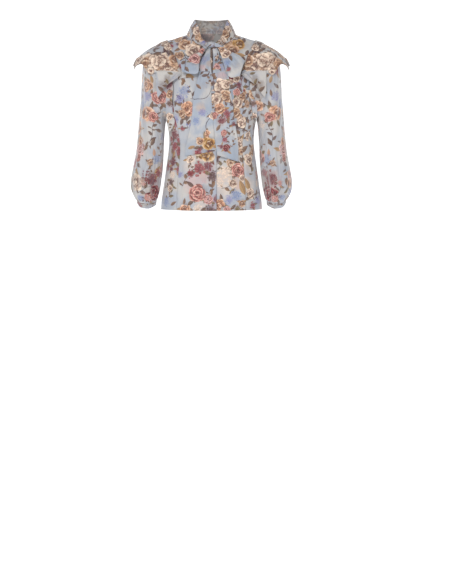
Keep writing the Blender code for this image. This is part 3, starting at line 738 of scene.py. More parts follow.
    def _strewn(self, scatter: Scatter, taken: list[Spot]) -> list[Spot]:
        """Seats the motifs of a scatter clear of those already there.

        Args:
            scatter: the scatter.
            taken: the motifs already there.
        Returns:
            The new motifs.
        """
        draw = np.random.default_rng(scatter.seed)
        weights = np.array([share for _, share, _, _ in scatter.mix])
        rows, columns = self.skin.shape[:2]
        flat = self.flat.reshape(-1, 2)
        span = np.linalg.norm(flat.max(axis=0) - flat.min(axis=0)) ** 2 / 2.4
        there = list(taken)
        for _ in range(int(scatter.density * span) + 8):
            kind, _, size, dyes = scatter.mix[draw.choice(len(scatter.mix), p=weights / weights.sum())]
            at = (int(draw.integers(rows)), int(draw.integers(columns)))
            size = size * draw.uniform(0.8, 1.25)
            if not scatter.takes(self.skin[at]):
                continue
            if there:
                gap = np.linalg.norm(np.array([s.middle for s in there]) - self.skin[at], axis=1)
                layers = np.array([s.kind.layer.value for s in there])
                share = np.where(layers == Layer.WASH.value, 0.0, OTHER_LAYER_GAP)
                share = np.where(layers == kind.layer.value, SAME_LAYER_GAP, share) * scatter.close
                if (gap < (np.array([s.size for s in there]) + size) * share).any():
                    continue
            zone = 0 if self.zone is None else int(self.zone[at])
            turn = draw.uniform(0, 6.28)
            spot = self._seat(kind, at, size, turn, dyes[draw.integers(len(dyes))], zone, (0, 0))
            there += [spot, *self._wreath(spot, draw)]
        return there[len(taken) :]

    def _prints(self, faces: np.ndarray, zones: np.ndarray) -> dict[Layer, tuple[np.ndarray, np.ndarray]]:
        """Each screen's motif place and dye at every corner.

        Args:
            faces: faces by 4, numbers of the outer skin's points.
            zones: the zone of each face.
        Returns:
            For each screen, local places with the motif's code, and the dye.
        """
        corners = self.skin.reshape(-1, 3)[faces]
        middle = corners.mean(axis=1)
        facing = self.out.reshape(-1, 3)[faces[:, 0]]
        spots = self._spots()
        made = {}
        for layer in Layer:
            place = np.zeros((len(corners), 4, 3))
            tint = np.zeros((len(corners), 4, 4))
            mine = [s for s in spots if s.kind.layer is layer]
            best = np.full(len(middle), PRINT_REACH)
            choice = np.full(len(middle), -1)
            for number, spot in enumerate(mine):
                away = np.linalg.norm(middle - spot.middle, axis=1) / spot.size
                own = (facing @ spot.normal > 0.15) & (zones == spot.zone)
                away = away + np.where(own, 0.0, OUT_OF_REACH)
                better = away < best
                best = np.where(better, away, best)
                choice = np.where(better, number, choice)
            for number, spot in enumerate(mine):
                here = choice == number
                local = (corners[here] - spot.middle) / spot.size
                place[here, :, 0] = local @ spot.right
                place[here, :, 1] = local @ spot.up
                place[here, :, 2] = spot.kind.value[1] + 0.1 + 0.8 * ((number * GOLDEN) % 1.0)
                tint[here] = linear(spot.dye.value)
            made[layer] = (place, tint)
        return made

    def build(self) -> bpy.types.Object:
        """Makes the shell's mesh with its flat places and the print's attributes.

        Returns:
            The new object.
        """
        rows, columns = self.skin.shape[:2]
        count = rows * columns
        inner = self.skin - self.out * (self.thickness + self.roll_depth)[..., None]
        index = np.arange(count).reshape(rows, columns)
        if self.closed:
            index[:, -1] = index[:, 0]
        faces = quads(index).reshape(-1, 4)
        wrong = np.zeros(len(faces))
        corners = quads(self.flat).reshape(-1, 4, 2)
        zone = np.zeros((rows, columns), int) if self.zone is None else self.zone
        zones = zone[:-1, :-1].reshape(-1)
        a, b, c = (self.skin.reshape(-1, 3)[faces[:, k]] for k in range(3))
        outward = (np.cross(b - a, c - b) * self.out[:-1, :-1].reshape(-1, 3)).sum() > 0
        rim = rims(index, self.closed)
        rim_faces = [np.stack([q, p, p + count, q + count], axis=-1) for p, q in rim]
        rim_flat = [np.stack([q, p, p, q], axis=1) for p, q in rims(self.flat, self.closed)]
        wrong = np.concatenate([wrong, wrong + 1.0, *(np.zeros(len(p)) for p, _ in rim)])
        faces = np.concatenate([faces, faces[:, ::-1] + count, *rim_faces])
        corners = np.concatenate([corners, corners[:, ::-1], *rim_flat])
        zones = np.concatenate([zones, zones, *(zone.flat[p] for p, _ in rim)])
        if not outward:
            faces, corners = faces[:, ::-1], corners[:, ::-1]
        points = np.concatenate([self.skin.reshape(-1, 3), inner.reshape(-1, 3)])
        used, renumbered = np.unique(faces, return_inverse=True)
        mesh = bpy.data.meshes.new(self.name)
        mesh.from_pydata(points[used].tolist(), [], renumbered.reshape(faces.shape).tolist())
        mesh.shade_smooth()
        uv = mesh.uv_layers.new(name="flat")
        uv.data.foreach_set("uv", corners.reshape(-1).astype(np.float32))

        def give(name: str, kind: str, domain: str, key: str, values: np.ndarray) -> None:
            """Gives the mesh an attribute."""
            data = mesh.attributes.new(name, kind, domain).data
            data.foreach_set(key, values.reshape(-1).astype(np.float32))

        for layer, (place, tint) in self._prints(faces % count, zones).items():
            give(layer.value, "FLOAT_VECTOR", "CORNER", "vector", place)
            give(layer.value + "_dye", "FLOAT_COLOR", "CORNER", "color", tint)
        give("wrong_side", "FLOAT", "FACE", "value", wrong)
        return linked(self.name, mesh)


# ---------------------------------------------------------------- the figure


@dataclass
class Figure:
    """The general figure's form that the body pieces are cut to, and its sleeves."""

    rings: tuple = (
        # half_w  z_side   front   z_front  back    z_back   square
        (0.1705, -0.5870, 0.1180, -0.5905, 0.1170, -0.5890, 2.35),
        (0.1680, -0.5560, 0.1170, -0.5590, 0.1160, -0.5570, 2.35),
        (0.1600, -0.5050, 0.1140, -0.5070, 0.1140, -0.5050, 2.35),
        (0.1515, -0.4400, 0.1080, -0.4420, 0.1070, -0.4400, 2.35),
        (0.1455, -0.3980, 0.1045, -0.3990, 0.0990, -0.3980, 2.35),
        (0.1420, -0.3600, 0.1040, -0.3610, 0.0955, -0.3600, 2.35),
        (0.1440, -0.3250, 0.1090, -0.3260, 0.0970, -0.3250, 2.35),
        (0.1500, -0.2860, 0.1150, -0.2880, 0.1020, -0.2860, 2.35),
        (0.1560, -0.2400, 0.1180, -0.2440, 0.1060, -0.2420, 2.35),
        (0.1640, -0.1650, 0.1130, -0.1900, 0.1080, -0.1780, 2.30),
        (0.1710, -0.0900, 0.0980, -0.1320, 0.1050, -0.1120, 2.20),
        (0.1700, -0.0335, 0.0800, -0.0900, 0.0930, -0.0620, 2.10),
        (0.1260, -0.0145, 0.0670, -0.0650, 0.0790, -0.0260, 2.05),
        (0.0840, -0.0010, 0.0600, -0.0460, 0.0660, 0.0060, 2.00),
    )
    underarm: float = 7.0
    shoulder: float = 11.0
    neck: float = 13.0
    bust: tuple = (0.0100, 0.0760, 0.0480, -0.2400, 0.0560)  # rise, x, x spread, z, z spread
    armhole_front: tuple = (42.0, 0.66)  # widest angle from the side seam, roundness
    armhole_back: tuple = (36.0, 0.62)
    princess_line: tuple = (
        # z       x
        (-0.600, 0.1170),
        (-0.526, 0.1160),
        (-0.450, 0.1100),
        (-0.390, 0.1050),
        (-0.360, 0.1060),
        (-0.323, 0.1120),
        (-0.272, 0.1250),
        (-0.200, 0.1320),
        (-0.150, 0.1330),
    )
    tree: BVHTree | None = field(default=None, repr=False)
    girth: tuple | None = field(default=None, repr=False)

    def skin(self, theta: np.ndarray, ring: np.ndarray) -> np.ndarray:
        """Points of the body's outer skin.

        Args:
            theta: angle round the body, 0 in front, a quarter turn at the wearer's left side.
            ring: place between the rings.
        Returns:
            Points, in metres.
        """
        theta, ring = np.broadcast_arrays(np.asarray(theta, float), np.asarray(ring, float))
        half_w, z_side, front, z_front, back, z_back, square = np.moveaxis(along(self.rings, ring), -1, 0)
        s, c = np.sin(theta), np.cos(theta)
        reach = (np.abs(s) ** square + np.abs(c) ** square) ** (-1 / square)
        x = half_w * reach * s
        y = -np.where(c > 0, front, back) * reach * c
        z_mid = np.where(c > 0, z_front, z_back)
        z = z_mid + (z_side - z_mid) * (reach * s) ** 2
        rise, bust_x, wide, bust_z, tall = self.bust
        swell = np.exp(-(((np.abs(x) - bust_x) / wide) ** 2) - ((z - bust_z) / tall) ** 2)
        return np.stack([x, y - rise * swell * (c > 0), z], axis=-1)

    def normal(self, theta: np.ndarray, ring: np.ndarray) -> np.ndarray:
        """Outward normals of the body's skin.

        Args:
            theta: angles round the body, as for skin.
            ring: places between the rings.
        Returns:
            Unit vectors.
        """
        e = 1e-3
        around = self.skin(theta + e, ring) - self.skin(theta - e, ring)
        up = self.skin(theta, np.minimum(ring + e, self.neck)) - self.skin(theta, np.maximum(ring - e, 0.0))
        return unit(np.cross(around, up))

    def angle_at(self, x: np.ndarray, ring: np.ndarray) -> np.ndarray:
        """Finds where a ring is x from the middle in front, on the wearer's left.

        Args:
            x: distances.
            ring: places between the rings.
        Returns:
            Angles round the body.
        """
        low = np.zeros_like(ring)
        high = np.full_like(ring, math.pi / 2)
        for _ in range(40):
            middle = (low + high) / 2
            short = self.skin(middle, ring)[..., 0] < x
            low = np.where(short, middle, low)
            high = np.where(short, high, middle)
        return (low + high) / 2

    def _armhole(self, ring: np.ndarray, shape: tuple) -> np.ndarray:
        """Measures how far an armhole's edge is from the side seam.

        Args:
            ring: places between the rings.
            shape: its widest angle in degrees and its roundness.
        Returns:
            Angles, 0 below and above the armhole.
        """
        widest, roundness = shape
        q = np.clip((ring - self.underarm) / (self.shoulder - self.underarm), 0.0, 1.0)
        return math.radians(widest) * (4 * q * (1 - q)) ** roundness

    def front_edge(self, ring: np.ndarray) -> np.ndarray:
        """The angle where the front ends: side seam, armhole or shoulder seam."""
        return math.pi / 2 - self._armhole(ring, self.armhole_front)

    def back_edge(self, ring: np.ndarray) -> np.ndarray:
        """The angle where the back begins."""
        return math.pi / 2 + self._armhole(ring, self.armhole_back)

    def princess(self, ring: np.ndarray) -> np.ndarray:
        """Finds the princess seam.

        Args:
            ring: places between the rings.
        Returns:
            Its angles round the body.
        """
        table = np.array(self.princess_line)
        angle = np.full_like(ring, 1.0)
        for _ in range(4):
            z = self.skin(angle, ring)[..., 2]
            angle = self.angle_at(np.interp(z, table[:, 0], table[:, 1]), ring)
        return angle

    def seam_meets_armhole(self) -> float:
        """Finds the place where the princess seam reaches the armhole.

        Returns:
            Its place between the rings.
        """
        rings = np.linspace(self.underarm + 0.4, self.shoulder - 1.0, 400)
        wide = self.front_edge(rings) - self.princess(rings)
        return float(rings[np.argmax(wide < 0)])

    def fine_rings(self, start: float, end: float) -> np.ndarray:
        """Spaces a panel's rows, closer at the hem and at both ends of the armhole.

        Args:
            start: the first row's place between the rings.
            end: the last row's.
        Returns:
            The rows' places.
        """
        low = np.linspace(0.0, self.underarm, 78)
        turn = np.linspace(0.0, math.pi, 73)
        hole = self.underarm + (1 - np.cos(turn)) * (self.shoulder - self.underarm) / 2
        top = np.linspace(self.shoulder, self.neck, 31)
        rings = np.concatenate([[0.0, 0.02, 0.045, 0.07], low[1:], hole[1:], top[1:]])
        inside = rings[(rings > start + 1e-6) & (rings < end - 0.01)]
        return np.concatenate([[start], inside, [end]])

    def laid_flat(self, theta: np.ndarray, ring: np.ndarray) -> np.ndarray:
        """Finds where places on the body lie on the cloth.

        Args:
            theta: angles round the body, as for skin.
            ring: places between the rings.
        Returns:
            How far they are across from the middle of the front, and their height up the cloth.
        """
        turns, rings, front = 720, 130, 240  # steps round one and a half turns, steps up, the step in front
        if self.girth is None:
            theta_all = np.linspace(-math.pi, math.pi * 2, turns + 1)
            points = self.skin(theta_all[None], np.linspace(0.0, self.neck, rings + 1)[:, None])
            u = travelled(points, 1)
            self.girth = (u - u[:, [front]], travelled(points, 0) + self.rings[0][3])
        t = (theta + math.pi) / (3 * math.pi) * turns
        r = ring / self.neck * rings
        i = np.clip(t.astype(int), 0, turns - 1)
        j = np.clip(r.astype(int), 0, rings - 1)
        f, g = t - i, r - j
        read = []
        for m in self.girth:
            low = m[j, i] * (1 - f) * (1 - g) + m[j, i + 1] * f * (1 - g)
            read.append(low + m[j + 1, i] * (1 - f) * g + m[j + 1, i + 1] * f * g)
        return np.stack(read, axis=-1)

    def grow_tree(self, sleeve: np.ndarray) -> None:
        """Makes a search tree of the body's and both sleeves' outer skins, wound outward.

        Args:
            sleeve: the left sleeve's outer skin.
        """
        vertices: list = []
        faces: list = []
        theta = np.linspace(0.0, TURN, 241)
        body = self.skin(theta[None, :], self.fine_rings(0.0, self.neck)[:, None])
        for grid in (body, sleeve[:, ::-1], *turned(-1, sleeve)):
            rows, columns = grid.shape[:2]
            index = len(vertices) + np.arange(rows * columns).reshape(rows, columns)
            vertices.extend(map(tuple, grid.reshape(-1, 3)))
            faces.extend(quads(index).reshape(-1, 4).tolist())
        self.tree = BVHTree.FromPolygons(vertices, faces)

    def _met(self, x: np.ndarray, z: np.ndarray, way: float) -> np.ndarray:
        """Finds where lines along y meet the figure.

        Args:
            x: the lines' places across.
            z: their heights.
            way: 1 toward the back, -1 toward the front.
        Returns:
            The y of each meeting.
        """
        aim = Vector((0.0, way, 0.0))
        starts = (Vector((float(a), -0.5 * way, float(b))) for a, b in zip(x.ravel(), z.ravel()))
        return np.array([self.tree.ray_cast(start, aim)[0].y for start in starts]).reshape(x.shape)

    def front_y(self, x: np.ndarray, z: np.ndarray) -> np.ndarray:
        """Finds where lines from the front meet the figure, or its neckline if they pass above it.

        Args:
            x: the lines' places across.
            z: their heights.
        Returns:
            The y of each meeting.
        """
        half_w, z_side, _, z_front = self.rings[-1][:4]
        neckline = z_front + (z_side - z_front) * np.minimum(np.abs(x) / half_w, 1.0) ** 2
        return self._met(x, np.minimum(z, neckline - 0.003), 1.0)

    def back_y(self, x: np.ndarray, z: np.ndarray) -> np.ndarray:
        """Where lines from behind meet the figure."""
        return self._met(x, z, -1.0)

    def pushed_out(self, points: np.ndarray, clearance: np.ndarray) -> np.ndarray:
        """Moves points out to stand clear of the figure.

        Args:
            points: rows by columns by 3.
            clearance: how far each row stands off at least.
        Returns:
            The points.
        """
        moved = points.copy()
        for clear, row in zip(clearance, moved):
            for c, p in enumerate(row):
                place, normal, _, _ = self.tree.find_nearest(Vector(p))
                if (Vector(p) - place).dot(normal) < clear:
                    row[c] = place + normal * clear
        return moved


# ---------------------------------------------------------------- the garment's pieces


@dataclass
class Body:
    """Fronts, side fronts and back."""

    figure: Figure
    under_edge_x: float = 0.0110
    lap_edge_x: float = 0.0170
    lap_lift: float = 0.0030
    lap_start_x: float = -0.0140
    lap_ramp: float = 0.0120
    front_columns: int = 52
    side_columns: int = 24
    back_columns: int = 128
    front_creases: tuple[Crease, ...] = creases(
        (62, -330, 84, -452, 9, -2.0, 0.6, 3), (-56, -420, -70, -580, 12, 1.9, 0.8, -3),
        (-22, -430, -32, -585, 10, -1.5, 1.0, 2), (-92, -395, -98, -560, 9, 1.8, 0.7, 2),
        (48, -440, 60, -588, 12, 2.0, 0.8, 4), (84, -430, 98, -585, 10, -1.9, 0.8, -3),
        (128, -338, 88, -372, 6, -2.2, 0.5, 2), (136, -352, 104, -392, 7, 2.0, 0.6, -2),
        (-134, -345, -96, -370, 6, -2.0, 0.5, -2), (-138, -412, -112, -446, 4, 2.1, 0.4, 1),
        (-128, -452, -118, -560, 7, -1.5, 0.8, 0), (142, -430, 138, -560, 9, 1.9, 0.8, 2),
        (-140, -300, -104, -262, 8, 1.5, 0.6, 2), (140, -296, 100, -256, 8, 1.5, 0.6, -2),
        (-60, -128, -84, -232, 12, 1.1, 0.8, 3), (-36, -346, -46, -404, 8, 1.4, 0.8, 0),
    )
    back_creases: tuple[Crease, ...] = creases(
        (-18, -60, -34, -210, 14, 2.1, 0.8, 4), (20, -55, 30, -190, 12, -1.8, 0.8, -3),
        (-70, -80, -104, -180, 12, 2.3, 0.6, 6), (74, -84, 110, -186, 12, 2.3, 0.6, -6),
        (-128, -330, -60, -372, 8, -2.6, 0.5, 4), (126, -338, 52, -366, 8, -2.6, 0.5, -4),
        (-120, -356, -40, -388, 9, 2.6, 0.6, 3), (118, -362, 44, -392, 9, 2.3, 0.6, -3),
        (-46, -330, -62, -574, 14, 2.9, 0.7, 6), (40, -340, 56, -580, 14, 2.9, 0.7, -6),
        (-2, -350, 4, -582, 12, -2.3, 0.9, 3), (-96, -400, -112, -584, 12, -2.3, 0.8, -3),
        (92, -396, 110, -584, 12, -2.3, 0.8, 3), (-130, -412, -140, -570, 10, 2.3, 0.7, 2),
        (130, -408, 142, -572, 10, 2.3, 0.7, -2), (0, -236, -20, -330, 12, -1.6, 0.8, 3),
        (-122, -236, -92, -292, 9, 1.8, 0.6, 2), (122, -240, 94, -296, 9, 1.8, 0.6, -2),
    )
    print_right: tuple[Motif, ...] = motifs(
        # The dark stem-coloured leaves and berries at x 2 to 3 mm are painted shadow: they lie in the gap
        # between the bow's tails.
        (LEAF, 3, -62, 24, 88, STEM), (LEAF, 3, -104, 24, 92, STEM), (LEAF, 2, -146, 24, 88, STEM),
        (BERRIES, 3, -84, 11, 0, STEM), (BERRIES, 3, -124, 11, 0, STEM), (PEONY2, -64, -54, 26, 0, CREAM),
        (PEONY, -90, -34, 24, 0, TAN), (PEONY, -54, -26, 18, 40, TAN), (BERRIES, -90, -12, 12, 0, PLUM),
        (SPRIG, -70, -20, 24, 10, PLUM), (LEAF, -96, -66, 13, 110, OLIVE),
        (SPRIG, -86, -148, 24, 15, BRONZE), (LEAF, -70, -140, 15, -20, OCHRE),
        (SPRIG, -60, -162, 20, 200, UMBER), (LEAF, -94, -160, 13, 70, BRONZE),
        (FLORETS, -92, -190, 20, 60, BLUE), (FLORETS, -104, -216, 17, 20, VIOLET),
        (SPRIG, -70, -196, 22, 120, PLUM), (PEONY, -82, -246, 25, 10, APRICOT),
        (ROSE2, -58, -256, 15, 40, BLUSH), (PEONY2, -100, -264, 15, 0, TAN),
        (SPRIG, -42, -264, 24, -30, UMBER), (LEAF, -54, -238, 14, 40, BRONZE),
        (SPRIG, -84, -288, 26, 105, UMBER), (LEAF, -98, -290, 15, 60, PLUM),
        (FLORETS, -54, -314, 24, 10, VIOLET), (FLORETS, -28, -304, 20, 40, BLUE),
        (BRANCH, -22, -342, 44, 78, STEM), (BRANCH, -70, -352, 42, 12, STEM),
        (LEAF, -64, -372, 18, 15, OCHRE), (PEONY2, -46, -386, 17, -30, TAN),
        (PEONY, -18, -400, 26, 20, OCHRE), (LEAF, -84, -380, 15, 160, BRONZE),
        (BERRIES, -40, -448, 27, 0, MAROON), (BERRIES, -12, -440, 20, 50, WINE),
        (BERRIES, -68, -466, 15, 0, MAROON), (BERRIES, 4, -474, 20, 30, PLUM),
        (SPRIG, -84, -486, 24, 60, BRONZE), (ROSE, -42, -526, 30, 0, BLUSH),
        (ROSE2, -12, -548, 17, 70, PINK), (SPRIG, -84, -530, 26, 100, OLIVE),
        (LEAF, -68, -562, 15, 40, UMBER), (SPRIG, -2, -512, 20, 80, UMBER),
        (PEONY, -88, -580, 17, 0, APRICOT), (SMUDGE, -60, -500, 44, 0, PINK),
        (SMUDGE, -24, -470, 36, 0, BLUSH), (SMUDGE, -70, -440, 34, 0, CREAM),
        (SMUDGE, -30, -564, 36, 0, CREAM), (SMUDGE, -30, -404, 34, 0, APRICOT),
        (BERRIES, -4, -588, 22, 0, PLUM), (FLORETS, -46, -582, 13, 0, CREAM),
    )
    print_left: tuple[Motif, ...] = motifs(
        (PEONY2, 66, -56, 28, 0, TAN), (PEONY, 92, -34, 24, 40, OCHRE), (PEONY, 54, -28, 18, 0, TAN),
        (SPRIG, 84, -14, 24, 170, PLUM), (BERRIES, 92, -150, 14, 0, WINE),
        (BERRIES, 80, -174, 18, 0, MAROON), (SPRIG, 70, -120, 28, 120, BRONZE),
        (PEONY2, 100, -198, 20, 0, TAN), (PEONY, 82, -224, 23, 30, CREAM),
        (SPRIG, 104, -250, 26, 92, UMBER), (PEONY2, 82, -262, 17, 10, TAN),
        (PEONY, 102, -292, 20, 0, CREAM), (BERRIES, 88, -312, 11, 0, PLUM),
        (SPRIG, 98, -336, 26, 90, BRONZE), (PEONY2, 96, -362, 18, 0, CREAM), (PEONY, 104, -392, 16, 0, TAN),
        (BERRIES, 88, -390, 10, 0, UMBER), (FLORETS, 50, -464, 25, 0, CREAM),
        (ROSE, 90, -452, 24, 20, BLUSH), (PEONY2, 68, -428, 15, 0, TAN), (FLORETS, 28, -490, 18, 10, CREAM),
        (PEONY2, 106, -478, 13, 0, CREAM), (SPRIG, 30, -440, 22, 60, OLIVE),
        (SPRIG, 58, -506, 24, 20, BRONZE), (LEAF, 104, -512, 26, 110, OCHRE),
        (FLORETS, 82, -540, 20, 0, BLUE), (FLORETS, 60, -552, 15, 0, VIOLET),
        (LEAF, 70, -524, 13, 40, OLIVE), (SPRIG, 36, -528, 20, 90, OLIVE),
        (PEONY, 28, -570, 19, 0, APRICOT), (SMUDGE, 50, -470, 46, 0, CREAM),
        (SMUDGE, 92, -452, 40, 0, CREAM), (SMUDGE, 40, -520, 36, 0, CREAM),
        (SMUDGE, 84, -500, 34, 0, APRICOT), (ROSE2, 54, -584, 12, 0, PINK),
        (BERRIES, 88, -582, 12, 0, OLIVE), (PEONY2, 104, -566, 12, 0, TAN), (PEONY, 74, -498, 15, 0, CREAM),
        (SPRIG, 40, -300, 30, 70, PLUM), (ROSE, 30, -330, 20, 0, PINK), (FLORETS, 30, -250, 20, 0, VIOLET),
        (LEAF, 30, -400, 17, 60, BRONZE), (BERRIES, 16, -420, 14, 0, PLUM),
    )
    side_right: tuple[Motif, ...] = motifs(
        (BERRIES, -122, -232, 15, 0, WINE), (SPRIG, -122, -262, 26, 92, PLUM),
        (BERRIES, -120, -296, 17, 20, MAROON), (SMUDGE, -124, -340, 30, 0, PLUM),
        (SMUDGE, -124, -400, 32, 0, WINE), (BERRIES, -124, -336, 22, 0, WINE),
        (BERRIES, -124, -376, 20, 40, MAROON), (SPRIG, -128, -402, 28, 82, BRONZE),
        (BERRIES, -128, -428, 19, 10, WINE), (BERRIES, -146, -442, 16, 10, MAROON),
        (FLORETS, -130, -470, 14, 0, CREAM), (BERRIES, -136, -494, 13, 0, PLUM),
        (PEONY, -140, -516, 12, 0, CREAM), (SPRIG, -136, -530, 24, 60, OLIVE),
        (FLORETS, -152, -560, 16, 0, BLUE), (LEAF, -128, -566, 13, 30, BRONZE),
        (ROSE, -158, -400, 16, 0, BLUSH), (BERRIES, -146, -350, 14, 0, WINE),
        # The plum and umber smudges at z -168 and -182 mm are painted shade under the flounce's flap.
        (PEONY, -118, -196, 18, 0, APRICOT), (SMUDGE, -114, -168, 24, 0, PLUM),
        (SMUDGE, -126, -182, 22, 0, UMBER),
    )
    side_left: tuple[Motif, ...] = motifs(
        (LEAF, 128, -262, 14, 20, PLUM), (FLORETS, 132, -214, 18, 0, BLUE),
        # The plum and umber smudges at z -168 and -182 mm are painted shade under the flounce's flap.
        (SPRIG, 126, -300, 26, 80, BRONZE), (SMUDGE, 114, -168, 24, 0, PLUM),
        (SMUDGE, 126, -182, 22, 0, UMBER), (BERRIES, 120, -186, 18, 0, WINE),
        (SMUDGE, 126, -440, 34, 0, CREAM), (SMUDGE, 122, -500, 34, 0, CREAM),
        (PEONY, 124, -420, 20, 0, CREAM), (PEONY, 136, -388, 16, 0, TAN),
        (SPRIG, 134, -444, 24, 100, OLIVE), (LEAF, 120, -500, 24, 115, OCHRE),
        (PEONY, 130, -530, 18, 0, CREAM), (ROSE, 152, -470, 14, 0, PINK),
        (FLORETS, 156, -556, 16, 0, VIOLET), (BERRIES, 138, -574, 14, 0, MAROON),
        (SPRIG, 140, -350, 24, 95, PLUM),
    )
    strewn_right: tuple[Scatter, ...] = (
        Scatter(31, 26000.0, PEONIES, (-112, -10, -95, 0), close=0.72),
        Scatter(32, 16000.0, VINE, (0, 20, -592, -420), close=0.8),
        Scatter(33, 7000.0, LEAFY, (-90, 10, -420, -300)),
        Scatter(34, 1500.0, SMALL),
    )
    strewn_left: tuple[Scatter, ...] = (
        Scatter(35, 26000.0, PEONIES, (10, 112, -95, 0), close=0.72),
        Scatter(36, 26000.0, PEONIES, (88, 134, -400, -190), close=0.75),
        Scatter(37, 16000.0, VINE, (60, 104, -210, -130)),
        Scatter(38, 1500.0, SMALL),
    )
    strewn_side_right: tuple[Scatter, ...] = (
        Scatter(39, 40000.0, VINE, (-136, -100, -460, -225), close=0.62),
        Scatter(40, 3000.0, SMALL),
    )
    strewn_side_left: tuple[Scatter, ...] = (
        Scatter(41, 12000.0, LEAFY, (100, 150, -470, -180)),
        Scatter(42, 3000.0, SMALL),
    )
    strewn_back: tuple[Scatter, ...] = (Scatter(11, 7000.0, close=0.85), Scatter(12, 3000.0, SMALL))

    def _piece(
        self, node: str, side: float, edges: tuple, rings: np.ndarray, columns: int, *print_and_hems: object
    ) -> Cloth:
        """Cuts a panel between two edges.

        Args:
            node: the CAD node it stands for.
            side: 1 as the edges say, -1 mirrored to the wearer's right.
            edges: the angles of its first and its last column, for each row.
            rings: its rows' places between the rings.
            columns: points across.
            print_and_hems: its motifs, its scatters and its free edges.
        Returns:
            The piece.
        """
        share = np.linspace(0.0, 1.0, columns)[None, :]
        theta = edges[0][:, None] * (1 - share) + edges[1][:, None] * share
        ring = np.broadcast_to(rings[:, None], theta.shape)
        form = (self.figure.skin, self.figure.normal, self.figure.laid_flat)
        skin, out, flat = turned(side, *(read(theta, ring)[::-1] for read in form))
        if node == "front_right":  # its lap is raised over the left front
            lap = smooth_step((skin[..., 0] - self.lap_start_x + self.lap_ramp) / self.lap_ramp)
            skin = skin + out * (lap * self.lap_lift)[..., None]
        return Cloth(node, "body_cloth", skin, out, flat, *print_and_hems)

    def cut(self) -> list[Cloth]:
        """Cuts and folds the body.

        Returns:
            Both fronts, both side fronts and the back.
        """
        f = self.figure
        meet = f.seam_meets_armhole()
        rings = f.fine_rings(0.0, f.neck)
        outer = np.where(rings < meet, f.princess(rings), f.front_edge(rings))
        under, lap = (
            -f.angle_at(np.full_like(rings, x), rings) for x in (self.under_edge_x, self.lap_edge_x)
        )
        low = f.fine_rings(0.0, meet - 0.16)
        sides = (f.princess(low), f.front_edge(low))
        back = (f.back_edge(rings), TURN - f.back_edge(rings))
        piece, wide, narrow = self._piece, self.front_columns, self.side_columns
        made = [
            piece("front_left", 1, (under, outer), rings, wide, self.print_left, self.strewn_left, "b"),
            piece("front_right", -1, (lap, outer), rings, wide, self.print_right, self.strewn_right, "bl"),
            piece("side_front_left", 1, sides, low, narrow, self.side_left, self.strewn_side_left, "b"),
            piece("side_front_right", -1, sides, low, narrow, self.side_right, self.strewn_side_right, "b"),
            piece("back", 1, back, rings, self.back_columns, (), self.strewn_back, "b"),
        ]
        for seed, cloth in enumerate(made):
            behind = cloth.node == "back"
            cloth.fold(self.back_creases if behind else self.front_creases, behind)
            cloth.sew("r" if cloth.node.startswith("front") else "lr")
            cloth.ruffle(0.0004, 0.045, 100 + seed)
            cloth.refresh()
        return made


